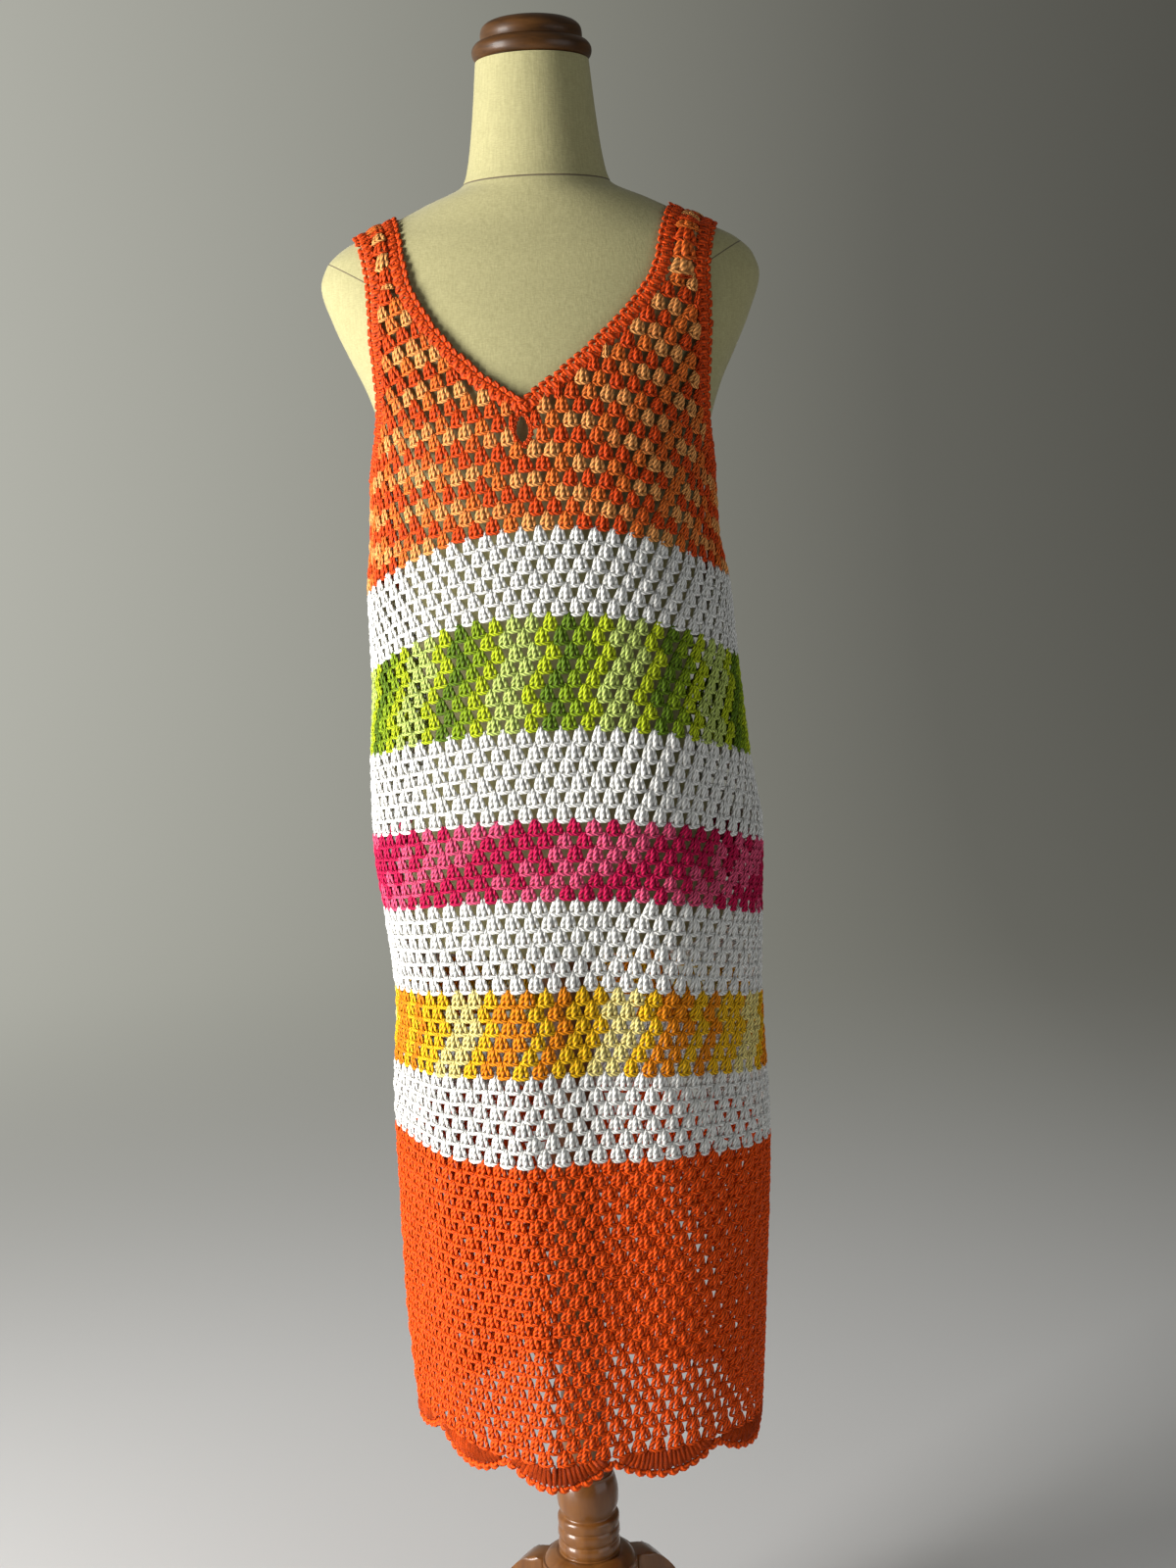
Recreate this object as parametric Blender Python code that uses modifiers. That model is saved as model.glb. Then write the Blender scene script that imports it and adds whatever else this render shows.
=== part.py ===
"""Crochet dress on a limbless dress form with a turned wooden stand.

Metres, +Z up, the front of the dress faces -Y. Everything is laid out round the axis of
the post, with the floor at height 0, and an empty then carries it so that the origin is
the middle of the whole object's footprint. Each maker's piece is one object.
"""
import math

import bmesh
import bpy
import numpy as np
from mathutils import Matrix, Vector

# Driving dimensions of the cloth
WALL = 0.003
SEAM_GAP = 0.0003
EDGING_GAP = 0.0010
EDGING_LIFT = 0.0007
SHOULDER_LIFT = 0.0013
EDGING_WIDTH = 0.009
EDGING_WALL = 0.0035
RING_STEPS = 48
SCALLOPS = 9
SCALLOP_STEPS = 12
SCALLOP_DROP = 0.020
NOTCH_X = 0.025
HEM_HEIGHT = 0.331
EDGING_TOP = 0.366

# Driving dimensions of the form and the stand
FORM_STEPS = 36
SHOULDER_CLEARANCE = 0.0026
SHOULDER_START = 1.395
SHOULDER_TOP = 1.484
TORSO_BOTTOM = 0.806
LEG_THICKNESS = 0.028
LEG_ANGLES = (-90.0, 30.0, 150.0)
HUB_RADIUS = 0.047

# Sections of the form: half width, reach to the front and to the back, squareness
FORM_SECTIONS = (
    # height, half, front, back, power
    (1.5900, 0.0500, 0.0500, 0.0500, 2.0),
    (1.5400, 0.0550, 0.0520, 0.0530, 2.0),
    (1.5000, 0.0610, 0.0550, 0.0570, 2.0),
    (1.4860, 0.0660, 0.0580, 0.0620, 2.0),
    (1.4700, 0.0998, 0.0620, 0.0690, 2.0),
    (1.4510, 0.1400, 0.0670, 0.0770, 2.0),
    (1.4340, 0.1760, 0.0730, 0.0840, 2.0),
    (1.4200, 0.1900, 0.0780, 0.0880, 2.0),
    (1.4030, 0.1955, 0.0830, 0.0920, 2.0),
    (1.3700, 0.1860, 0.0930, 0.0970, 2.1),
    (1.3400, 0.1730, 0.1010, 0.1000, 2.1),
    (1.3070, 0.1580, 0.1090, 0.1010, 2.2),
    (1.2700, 0.1470, 0.1170, 0.1000, 2.2),
    (1.2200, 0.1400, 0.1220, 0.0960, 2.2),
    (1.1800, 0.1380, 0.1210, 0.0920, 2.2),
    (1.1200, 0.1310, 0.1060, 0.0860, 2.1),
    (1.0600, 0.1220, 0.0950, 0.0820, 2.1),
    (1.0100, 0.1180, 0.0910, 0.0850, 2.1),
    (0.9600, 0.1270, 0.0950, 0.0960, 2.1),
    (0.9000, 0.1430, 0.1000, 0.1080, 2.1),
    (0.8500, 0.1500, 0.1000, 0.1100, 2.1),
    (0.8150, 0.1500, 0.0980, 0.1070, 2.1),
    (0.8060, 0.1440, 0.0930, 0.1010, 2.1),
)

# Sections of the hanging cloth, measured to its inner face
CLOTH_SECTIONS = (
    # height, left, right, front, back, left_power, right_power, ridge_x
    (1.2700, 0.1560, 0.1530, 0.1210, 0.1040, 2.20, 2.20, 0.000),
    (1.2200, 0.1570, 0.1480, 0.1270, 0.1020, 2.20, 2.20, 0.000),
    (1.1800, 0.1590, 0.1490, 0.1290, 0.1010, 2.20, 2.20, 0.000),
    (1.1300, 0.1640, 0.1580, 0.1280, 0.1020, 2.20, 2.20, 0.000),
    (1.0600, 0.1640, 0.1640, 0.1250, 0.1060, 2.20, 2.20, 0.000),
    (0.9650, 0.1700, 0.1740, 0.1240, 0.1130, 2.15, 2.15, 0.000),
    (0.9000, 0.1710, 0.1830, 0.1250, 0.1170, 2.05, 2.15, -0.010),
    (0.8300, 0.1640, 0.1810, 0.1270, 0.1180, 1.90, 2.10, -0.020),
    (0.7500, 0.1580, 0.1790, 0.1300, 0.1160, 1.75, 2.10, -0.028),
    (0.6300, 0.1600, 0.1830, 0.1380, 0.1110, 1.60, 2.20, -0.033),
    (0.4600, 0.1590, 0.1760, 0.1480, 0.1040, 1.50, 2.30, -0.028),
    (0.3200, 0.1510, 0.1680, 0.1540, 0.1000, 1.45, 2.35, -0.022),
)

# Long soft folds: heights, the angle from the front at each end, half spread and depth
FOLDS = (
    # name, top, bottom, top_angle, bottom_angle, spread, depth
    ("bust to front ridge", 1.060, 0.830, 48.0, -6.0, 11.0, 0.007),
    ("front ridge", 0.860, 0.200, -6.0, -6.0, 9.0, 0.006),
    ("right front crease", 0.980, 0.560, 34.0, 30.0, 9.0, 0.006),
    ("right front trough", 0.900, 0.200, 18.0, 22.0, 9.0, -0.005),
    ("left front fold", 0.900, 0.200, -40.0, -36.0, 8.0, 0.004),
    ("right side fold", 0.700, 0.200, 66.0, 62.0, 9.0, 0.006),
    ("back left fold", 1.060, 0.200, -132.0, -140.0, 10.0, 0.008),
    ("back middle fold", 0.820, 0.200, 172.0, 176.0, 11.0, 0.010),
    ("back right fold", 1.000, 0.200, 128.0, 138.0, 10.0, 0.008),
    ("left side fold", 0.760, 0.200, -84.0, -88.0, 9.0, 0.005),
)

# Heights of the lines between the bands, at the left side, front, right side and back
BAND_LINES = (
    # name, left, front, right, back
    ("bodice", 1.129, 1.188, 1.134, 1.140),
    ("white_1", 1.059, 1.115, 1.062, 1.066),
    ("green", 0.983, 1.016, 0.971, 0.985),
    ("white_2", 0.909, 0.936, 0.892, 0.908),
    ("pink", 0.840, 0.867, 0.824, 0.838),
    ("white_3", 0.765, 0.786, 0.748, 0.762),
    ("yellow", 0.693, 0.709, 0.677, 0.690),
    ("white_4", 0.631, 0.629, 0.613, 0.622),
    ("orange", EDGING_TOP, EDGING_TOP, EDGING_TOP, EDGING_TOP),
)
BAND_ROWS = {"white_1": 2, "green": 2, "white_2": 2, "pink": 2, "white_3": 2,
             "yellow": 2, "white_4": 2, "orange": 6}

# Front edges of the bodice panel: neck line and keyhole as x, armholes as angles
FRONT_NECK = (
    # height, left_x, right_x
    (1.2560, -0.0180, -0.0180),
    (1.2620, -0.0240, -0.0120),
    (1.2700, -0.0258, -0.0102),
    (1.2780, -0.0240, -0.0120),
    (1.2840, -0.0200, -0.0160),
    (1.2900, -0.0285, -0.0085),
    (1.3070, -0.0580, 0.0180),
    (1.3310, -0.0810, 0.0480),
    (1.3560, -0.1000, 0.0740),
    (1.3770, -0.1145, 0.0950),
    (1.3950, -0.1215, 0.1065),
)
BACK_NECK = (
    # height, left_x, right_x
    (1.3300, -0.0040, -0.0040),
    (1.3330, -0.0360, 0.0280),
    (1.3420, -0.0620, 0.0540),
    (1.3560, -0.0840, 0.0750),
    (1.3770, -0.1030, 0.0930),
    (1.3950, -0.1120, 0.1010),
)
ARMHOLE = (
    # height, left_angle, right_angle
    (1.2160, 90.0, 90.0),
    (1.2220, 82.0, 82.0),
    (1.2340, 74.0, 73.0),
    (1.2560, 67.0, 65.0),
    (1.2900, 60.0, 58.0),
    (1.3420, 50.5, 49.5),
    (1.3950, 43.5, 42.5),
)
STRAP_TOP = {"left": (-0.1370, -0.1550), "right": (0.1290, 0.1480)}
STRAP_STEPS = 5
PANEL_HEIGHTS = {
    "front": (1.216, 1.222, 1.234, 1.256, 1.262, 1.270, 1.278, 1.284, 1.290, 1.307,
              1.331, 1.356, 1.377, 1.395),
    "back": (1.216, 1.222, 1.234, 1.256, 1.290, 1.330, 1.333, 1.342, 1.356, 1.377, 1.395),
}

# Turned outlines of the cap, the post and the hub: radius and height from the top down
CAP_PROFILE = (
    (0.0000, 1.6270), (0.0200, 1.6262), (0.0360, 1.6235), (0.0430, 1.6190), (0.0448, 1.6130),
    (0.0450, 1.6070), (0.0490, 1.6055), (0.0520, 1.6020), (0.0528, 1.5980), (0.0518, 1.5940),
    (0.0490, 1.5910), (0.0450, 1.5903), (0.0000, 1.5903),
)
POST_PROFILE = (
    (0.0000, 0.8057), (0.0400, 0.8057), (0.0430, 0.8030), (0.0430, 0.7960), (0.0400, 0.7930),
    (0.0280, 0.7900), (0.0245, 0.7800), (0.0235, 0.7600), (0.0225, 0.5200), (0.0230, 0.2900),
    (0.0240, 0.2660), (0.0262, 0.2635), (0.0262, 0.2605), (0.0280, 0.2560), (0.0300, 0.2470),
    (0.0304, 0.2390), (0.0296, 0.2300), (0.0270, 0.2225), (0.0272, 0.2205), (0.0300, 0.2180),
    (0.0305, 0.2140), (0.0300, 0.2095), (0.0292, 0.2080), (0.0304, 0.2050), (0.0306, 0.2000),
    (0.0296, 0.1955), (0.0290, 0.1940), (0.0303, 0.1905), (0.0305, 0.1860), (0.0294, 0.1815),
    (0.0280, 0.1803), (0.0000, 0.1803),
)
HUB_PROFILE = (
    (0.0000, 0.1800), (0.0290, 0.1800), (0.0340, 0.1795), (0.0400, 0.1765), (0.0448, 0.1710),
    (HUB_RADIUS, 0.1640), (HUB_RADIUS, 0.0960), (0.0440, 0.0900), (0.0300, 0.0830),
    (0.0220, 0.0740), (0.0120, 0.0680), (0.0000, 0.0665),
)
# One leg seen from the side: reach from the hub's face and height
LEG_OUTLINE = (
    (0.0003, 0.1620), (0.0160, 0.1610), (0.0320, 0.1500), (0.0450, 0.1330), (0.0570, 0.1080),
    (0.0680, 0.0800), (0.0820, 0.0550), (0.1020, 0.0370), (0.1270, 0.0270), (0.1520, 0.0240),
    (0.1690, 0.0220), (0.1760, 0.0150), (0.1760, 0.0050), (0.1720, 0.0000), (0.1300, 0.0000),
    (0.1220, 0.0060), (0.1020, 0.0120), (0.0800, 0.0240), (0.0600, 0.0430), (0.0430, 0.0680),
    (0.0280, 0.0900), (0.0140, 0.1020), (0.0003, 0.1060),
)

# Colours: linear red, green, blue and roughness
FINISHES = {
    "linen": ((0.72, 0.66, 0.45), 0.85),
    "dark_wood": ((0.20, 0.055, 0.018), 0.25),
    "honey_wood": ((0.30, 0.12, 0.035), 0.28),
    "bodice_yarn": ((0.80, 0.17, 0.045), 0.85),
    "deep_orange_yarn": ((0.70, 0.075, 0.015), 0.85),
    "white_yarn": ((0.80, 0.80, 0.78), 0.85),
    "green_yarn": ((0.36, 0.55, 0.06), 0.85),
    "pink_yarn": ((0.70, 0.05, 0.22), 0.85),
    "yellow_yarn": ((0.90, 0.58, 0.06), 0.85),
    "orange_yarn": ((0.85, 0.10, 0.012), 0.85),
}


def clear_scene():
    """Start from an empty scene."""
    for old in list(bpy.data.objects):
        bpy.data.objects.remove(old, do_unlink=True)


def finish(name):
    """Material with the finish's colour and roughness, made once."""
    known = bpy.data.materials.get(name)
    if known:
        return known
    colour, roughness = FINISHES[name]
    material = bpy.data.materials.new(name)
    material.use_nodes = True
    shader = material.node_tree.nodes["Principled BSDF"]
    shader.inputs["Base Color"].default_value = (*colour, 1.0)
    shader.inputs["Roughness"].default_value = roughness
    material.diffuse_color = (*colour, 1.0)
    return material


def add_object(name, mesh, finish_name, collection):
    """Put a mesh in the object's collection under its own name."""
    thing = bpy.data.objects.new(name, mesh)
    thing.data.materials.append(finish(finish_name))
    collection.objects.link(thing)
    return thing


# Smooth interpolation in the section tables
def smooth_value(x, xs, ys):
    """Monotone cubic through the points (xs rising) at x."""
    xs, ys, x = np.asarray(xs, float), np.asarray(ys, float), np.asarray(x, float)
    step = np.diff(xs)
    slope = np.diff(ys) / step
    tangent = np.zeros(len(xs))
    same = slope[1:] * slope[:-1] > 0
    mean = 2.0 * slope[1:] * slope[:-1] / np.where(same, slope[1:] + slope[:-1], 1.0)
    tangent[1:-1] = np.where(same, mean, 0.0)
    tangent[0], tangent[-1] = slope[0], slope[-1]
    x = np.clip(x, xs[0], xs[-1])
    k = np.clip(np.searchsorted(xs, x, side="right") - 1, 0, len(step) - 1)
    t = (x - xs[k]) / step[k]
    return ((2 * t**3 - 3 * t**2 + 1) * ys[k] + (t**3 - 2 * t**2 + t) * step[k] * tangent[k]
            + (3 * t**2 - 2 * t**3) * ys[k + 1] + (t**3 - t**2) * step[k] * tangent[k + 1])


def table_values(table, height):
    """Each column of a section table at a height; the tables run from the top down."""
    rows = np.array(table)[::-1]
    return [smooth_value(height, rows[:, 0], rows[:, c]) for c in range(1, rows.shape[1])]


def cloth_table():
    """Cloth sections: the form's own, just outside it, down to the bust, then the hanging ones."""
    grow = SHOULDER_CLEARANCE
    worn = [(h, half + grow, half + grow, front + grow, back + grow, power, power, 0.0)
            for h, half, front, back, power in FORM_SECTIONS if h > 1.30]
    return tuple(worn) + CLOTH_SECTIONS


CLOTH_TABLE = cloth_table()


def smooth_step(t):
    """Rise from 0 to 1 with level ends."""
    t = np.clip(t, 0.0, 1.0)
    return t * t * (3.0 - 2.0 * t)


def fold_depth(turn, height):
    """How far the folds push the cloth out at an angle from the front and a height."""
    total = np.zeros(np.broadcast(turn, height).shape)
    fade = 0.10
    for _, top, bottom, top_angle, bottom_angle, spread, depth in FOLDS:
        along = np.clip((top - height) / (top - bottom), 0.0, 1.0)
        middle = np.radians(top_angle + (bottom_angle - top_angle) * along)
        away = (turn - middle + math.pi) % (2.0 * math.pi) - math.pi
        strength = smooth_step((top - height) / fade) * smooth_step((height - bottom) / fade)
        total = total + depth * strength * np.exp(-0.5 * (away / math.radians(spread)) ** 2)
    return total


def cloth_point(turn, height):
    """Inner face of the cloth; turn is the angle from the front, positive towards +X."""
    turn, height = np.broadcast_arrays(np.asarray(turn, float), np.asarray(height, float))
    left, right, front, back, left_power, right_power, ridge = table_values(CLOTH_TABLE, height)
    sine, cosine = np.sin(turn), np.cos(turn)
    ahead = cosine > 0
    power = np.where(ahead, np.where(sine < 0, left_power, right_power), 2.1)
    side = np.where(sine < 0, left, right) + fold_depth(turn, height)
    reach = np.where(ahead, front, back) + fold_depth(turn, height)
    x = side * np.sign(sine) * np.abs(sine) ** (2.0 / power)
    x = x + ridge * np.where(ahead, np.abs(cosine), 0.0) ** 2
    y = -reach * np.sign(cosine) * np.abs(cosine) ** (2.0 / power)
    return np.stack([x, y, height], axis=-1)


def turn_at_x(x, height, back=False):
    """Angle at which the cloth has a given x at a height."""
    low, high = (-0.5 * math.pi, 0.5 * math.pi)
    for _ in range(40):
        middle = 0.5 * (low + high)
        turn = math.pi - middle if back else middle
        if cloth_point(turn, height)[0] < x:
            low = middle
        else:
            high = middle
    return math.pi - low if back else low


def line_height(line, turn):
    """Height of a band line at an angle: it rises over the bust in front."""
    _, left, front, right, back = line
    cosine = np.cos(turn)
    side = np.where(np.sin(turn) < 0, left, right)
    ahead = np.maximum(cosine, 0.0) ** 1.6
    behind = np.maximum(-cosine, 0.0) ** 2
    return side + (front - side) * ahead + (back - side) * behind


def ring_turns(line, count):
    """Angles that part a band line into equal lengths, starting at the back."""
    turns = np.linspace(-math.pi, math.pi, 1441)
    points = cloth_point(turns, line_height(line, turns))
    length = np.concatenate([[0.0], np.cumsum(np.linalg.norm(np.diff(points, axis=0), axis=1))])
    return np.interp(np.arange(count) / count * length[-1], length, turns)


# Shells
def grid_mesh(name, grid, closed):
    """Open surface through rows of points; the rows run upwards, closed rings meet themselves."""
    rows, columns = grid.shape[:2]
    mesh = bmesh.new()
    verts = [[mesh.verts.new(Vector(point)) for point in row] for row in grid]
    span = columns if closed else columns - 1
    for r in range(rows - 1):
        for c in range(span):
            d = (c + 1) % columns
            mesh.faces.new((verts[r][c], verts[r][d], verts[r + 1][d], verts[r + 1][c]))
    return finish_mesh(name, mesh)


def finish_mesh(name, work):
    """Weld a bmesh and turn it into a smooth mesh."""
    bmesh.ops.remove_doubles(work, verts=work.verts, dist=0.00002)
    data = bpy.data.meshes.new(name)
    work.to_mesh(data)
    work.free()
    data.shade_smooth()
    return data


def thicken(thing, wall):
    """Give an open surface its wall, outwards from the inner face."""
    solid = thing.modifiers.new("cloth wall", "SOLIDIFY")
    solid.thickness = wall
    solid.offset = 1.0
    solid.use_even_offset = True
    solid.use_rim = True


def band(lines, index, collection, finish_name):
    """One crochet band between two band lines, as a closed ring wall."""
    above, below = lines[index - 1], lines[index]
    rows = BAND_ROWS[below[0]]
    top_turns, bottom_turns = ring_turns(above, RING_STEPS), ring_turns(below, RING_STEPS)
    grid = []
    for r in range(rows + 1):
        t = r / rows
        turns = bottom_turns + (top_turns - bottom_turns) * t
        low = line_height(below, turns) + 0.5 * SEAM_GAP
        high = line_height(above, turns) - 0.5 * SEAM_GAP
        grid.append(cloth_point(turns, low + (high - low) * t))
    name = "skirt_orange" if below[0] == "orange" else "band_" + below[0]
    thing = add_object(name, grid_mesh(name, np.array(grid), True), finish_name, collection)
    thicken(thing, WALL)
    return thing


def hem_edging(collection):
    """Shell edging under the skirt, with its scalloped lower edge."""
    steps = SCALLOPS * SCALLOP_STEPS
    turns = ring_turns(BAND_LINES[-1], steps)
    notch = np.interp(turn_at_x(NOTCH_X, EDGING_TOP), turns, np.arange(steps))
    place = (np.arange(steps) - round(float(notch))) / SCALLOP_STEPS
    scallop = SCALLOP_DROP * (1.0 - np.abs(np.sin(math.pi * place)) ** 0.7)
    bottom = HEM_HEIGHT + scallop
    top = np.full(steps, EDGING_TOP - 0.5 * SEAM_GAP)
    grid = [cloth_point(turns, bottom + (top - bottom) * t) for t in (0.0, 0.5, 1.0)]
    thing = add_object("hem_edging", grid_mesh("hem_edging", np.array(grid), True),
                       "orange_yarn", collection)
    thicken(thing, WALL)
    return thing


# Bodice panels
def shoulder_height(x, y):
    """Height of the cloth over the shoulder at a place seen from above."""
    low, high = SHOULDER_START - 0.001, SHOULDER_TOP + 0.05
    for _ in range(40):
        middle = 0.5 * (low + high)
        left, right, front, back, power, _, _ = table_values(CLOTH_TABLE, middle)
        side, reach = (left if x < 0 else right), (front if y < 0 else back)
        inside = abs(x / side) ** power + abs(y / reach) ** power
        low, high = (middle, high) if inside < 1.0 else (low, middle)
    return low


def strap_point(x, share, back):
    """Point of a strap: share 0 is where it leaves the panel, 1 is the shoulder seam."""
    start = cloth_point(turn_at_x(x, SHOULDER_START, back), SHOULDER_START)
    y = start[1] * math.cos(0.5 * math.pi * share)
    if share >= 1.0:
        y = (1.0 if back else -1.0) * 0.5 * SEAM_GAP
    if share <= 0.0:
        return start
    return np.array([x, y, shoulder_height(x, y)])


def panel_half(side, face, seam_turns):
    """Rows of points of half a panel, from the middle out to the side seam or armhole."""
    back = face == "back"
    neck = BACK_NECK if back else FRONT_NECK
    column = 1 if side == "left" else 2
    sign = -1.0 if side == "left" else 1.0
    neck_rows, arm_rows = np.array(neck), np.array(ARMHOLE)
    share = (seam_turns - seam_turns[0]) / (seam_turns[-1] - seam_turns[0])
    heights = PANEL_HEIGHTS[face]
    bottom_line = BAND_LINES[0]
    rows = []
    for t in (0.0, 0.35, 0.7):
        low = line_height(bottom_line, seam_turns) + 0.5 * SEAM_GAP
        rows.append(cloth_point(seam_turns, low + (heights[0] - low) * t))
    for height in heights:
        angle = np.interp(height, arm_rows[:, 0], arm_rows[:, column])
        outer = sign * math.radians(180.0 - angle if back else angle)
        if back:
            outer = outer % (2.0 * math.pi)
        if height < neck_rows[0, 0]:
            low = bottom_line[4 if back else 2]
            inner = seam_turns[0]
            middle_x = neck_rows[0, column]
            blend = (height - low) / (neck_rows[0, 0] - low)
            inner += (turn_at_x(middle_x, neck_rows[0, 0], back) - inner) * smooth_step(blend)
        else:
            x = np.interp(height, neck_rows[:, 0], neck_rows[:, column])
            inner = turn_at_x(x, height, back)
        gap = 0.5 * SEAM_GAP if height <= heights[0] + 1e-6 else 0.0
        turns = inner + (outer - inner) * share
        turns[-1] -= sign * (gap if not back else -gap) / 0.15
        rows.append(cloth_point(turns, height))
    for step in range(1, STRAP_STEPS + 1):
        t = step / STRAP_STEPS
        first, last = rows[len(heights) + 2][0][0], rows[len(heights) + 2][-1][0]
        inner = first + (STRAP_TOP[side][0] - first) * t
        outer = last + (STRAP_TOP[side][1] - last) * t
        rows.append(np.array([strap_point(inner + (outer - inner) * s, t, back) for s in share]))
    return np.array(rows)


def bodice_panel(face, collection):
    """Front or back panel of the bodice, from the white band to the shoulder seams."""
    turns = ring_turns(BAND_LINES[0], RING_STEPS)
    quarter = RING_STEPS // 4
    middle = 0 if face == "back" else 2 * quarter
    halves = {}
    work = bmesh.new()
    for side, way in (("left", -1), ("right", 1)):
        if face == "back":
            way = -way
        picks = [(middle + way * i) % RING_STEPS for i in range(quarter + 1)]
        seam_turns = turns[picks].copy()
        if face == "back":
            seam_turns = seam_turns % (2.0 * math.pi)
        nudge = 0.5 * SEAM_GAP / 0.16
        seam_turns[-1] += -nudge if seam_turns[-1] > seam_turns[0] else nudge
        grid = panel_half(side, face, seam_turns)
        halves[side] = grid
        verts = [[work.verts.new(Vector(point)) for point in row] for row in grid]
        flip = (side == "left") != (face == "back")
        for r in range(len(verts) - 1):
            for c in range(quarter):
                quad = (verts[r][c], verts[r][c + 1], verts[r + 1][c + 1], verts[r + 1][c])
                work.faces.new(quad[::-1] if flip else quad)
    name = "bodice_" + face
    thing = add_object(name, finish_mesh(name, work), "bodice_yarn", collection)
    thicken(thing, WALL)
    return halves


# Edgings that run along the panels' edges
def edge_rows(grid, first_row, inner):
    """Edge points of a half panel from a row up, with the direction out over the edge."""
    edge, inside = (0, 1) if inner else (-1, -2)
    points = grid[first_row:, edge]
    ways = points - grid[first_row:, inside]
    ways[0] = (0.0, 0.0, 1.0)
    return points, ways


def divided(values, parts):
    """Closed run of values with parts equal steps between each two."""
    ahead = np.roll(values, -1, axis=0)
    steps = [values + (ahead - values) * (part / parts) for part in range(parts)]
    return np.stack(steps, axis=1).reshape(-1, values.shape[1])


def edging(name, points, ways, parts, collection):
    """Strip of crochet beside a closed edge; ways point out over the edge."""
    apart = np.linalg.norm(np.roll(points, -1, axis=0) - points, axis=1)
    points, ways = points[apart > 0.001], ways[apart > 0.001]
    path, outwards = divided(points, parts), divided(ways, parts)
    ahead = np.roll(path, -1, axis=0) - np.roll(path, 1, axis=0)
    ahead /= np.linalg.norm(ahead, axis=1)[:, None]
    across = outwards - np.sum(outwards * ahead, axis=1)[:, None] * ahead
    across /= np.linalg.norm(across, axis=1)[:, None]
    outer = np.cross(ahead, across)
    near = path + EDGING_GAP * across + EDGING_LIFT * outer
    over = SHOULDER_LIFT * smooth_step((path[:, 2:] - 1.43) / 0.02)
    far = path + EDGING_WIDTH * across + (EDGING_LIFT + over) * outer
    apart = np.min(np.linalg.norm(far[:, None] - path[None], axis=2), axis=1)
    clear = np.flatnonzero(apart > 0.97 * EDGING_WIDTH)
    places = np.arange(len(path))
    far = np.stack([np.interp(places, clear, far[clear, axis], period=len(path))
                    for axis in range(3)], axis=1)
    thing = add_object(name, grid_mesh(name, np.array([near, far]), True),
                       "deep_orange_yarn", collection)
    thicken(thing, EDGING_WALL)
    return thing


def neck_edging(front, back, collection):
    """Edging round the neck: over the V, both shoulders and the scoop of the back."""
    first_front = 3 + PANEL_HEIGHTS["front"].index(1.284)
    first_back = 3 + PANEL_HEIGHTS["back"].index(1.330)
    points, ways = [], []
    for half, face, first, upwards in (("right", front, first_front, True),
                                       ("right", back, first_back, False),
                                       ("left", back, first_back, True),
                                       ("left", front, first_front, False)):
        line, way = edge_rows(face[half], first, True)
        order = slice(None) if upwards else slice(None, None, -1)
        points.append(line[order])
        ways.append(way[order])
    points[2], ways[2] = points[2][1:], ways[2][1:]
    edging("neck_edging", np.vstack(points), np.vstack(ways), 2, collection)


def armhole_edging(side, front, back, collection):
    """Edging round one armhole, from the underarm up the front, over and down the back."""
    front_line, front_way = edge_rows(front[side], 3, False)
    back_line, back_way = edge_rows(back[side], 3, False)
    points = np.vstack([front_line, back_line[::-1]])
    ways = np.vstack([front_way, back_way[::-1]])
    if side == "right":
        points, ways = points[::-1], ways[::-1]
    edging("armhole_edging_" + side, points, ways, 2, collection)


# Form and stand
def torso(collection):
    """Neck, shoulders and body of the form as one smooth closed loft."""
    top, bottom = FORM_SECTIONS[0][0], TORSO_BOTTOM
    heights = [row[0] for row in FORM_SECTIONS]
    turns = np.arange(FORM_STEPS) / FORM_STEPS * 2.0 * math.pi
    work = bmesh.new()
    rings = []
    for height in sorted(heights):
        half, front, back, power = table_values(FORM_SECTIONS, height)
        sine, cosine = np.sin(turns), np.cos(turns)
        reach = np.where(cosine > 0, front, back)
        x = half * np.sign(sine) * np.abs(sine) ** (2.0 / power)
        y = -reach * np.sign(cosine) * np.abs(cosine) ** (2.0 / power)
        z = min(max(height, bottom), top)
        rings.append([work.verts.new((x[i], y[i], z)) for i in range(FORM_STEPS)])
    for low, high in zip(rings, rings[1:]):
        for i in range(FORM_STEPS):
            j = (i + 1) % FORM_STEPS
            work.faces.new((low[i], low[j], high[j], high[i]))
    work.faces.new(rings[0][::-1])
    work.faces.new(rings[-1])
    add_object("torso_form", finish_mesh("torso_form", work), "linen", collection)


def turned(name, profile, steps, finish_name, collection):
    """Turned piece: the profile runs from the top down and is screwed round the post's axis."""
    work = bmesh.new()
    verts = [work.verts.new((radius, 0.0, height)) for radius, height in profile]
    for a, b in zip(verts, verts[1:]):
        work.edges.new((a, b))
    data = bpy.data.meshes.new(name)
    work.to_mesh(data)
    work.free()
    thing = add_object(name, data, finish_name, collection)
    screw = thing.modifiers.new("turning", "SCREW")
    screw.axis = "Z"
    screw.steps = steps
    screw.render_steps = steps
    screw.use_merge_vertices = True
    screw.merge_threshold = 0.0001
    screw.use_smooth_shade = True
    return thing


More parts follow.
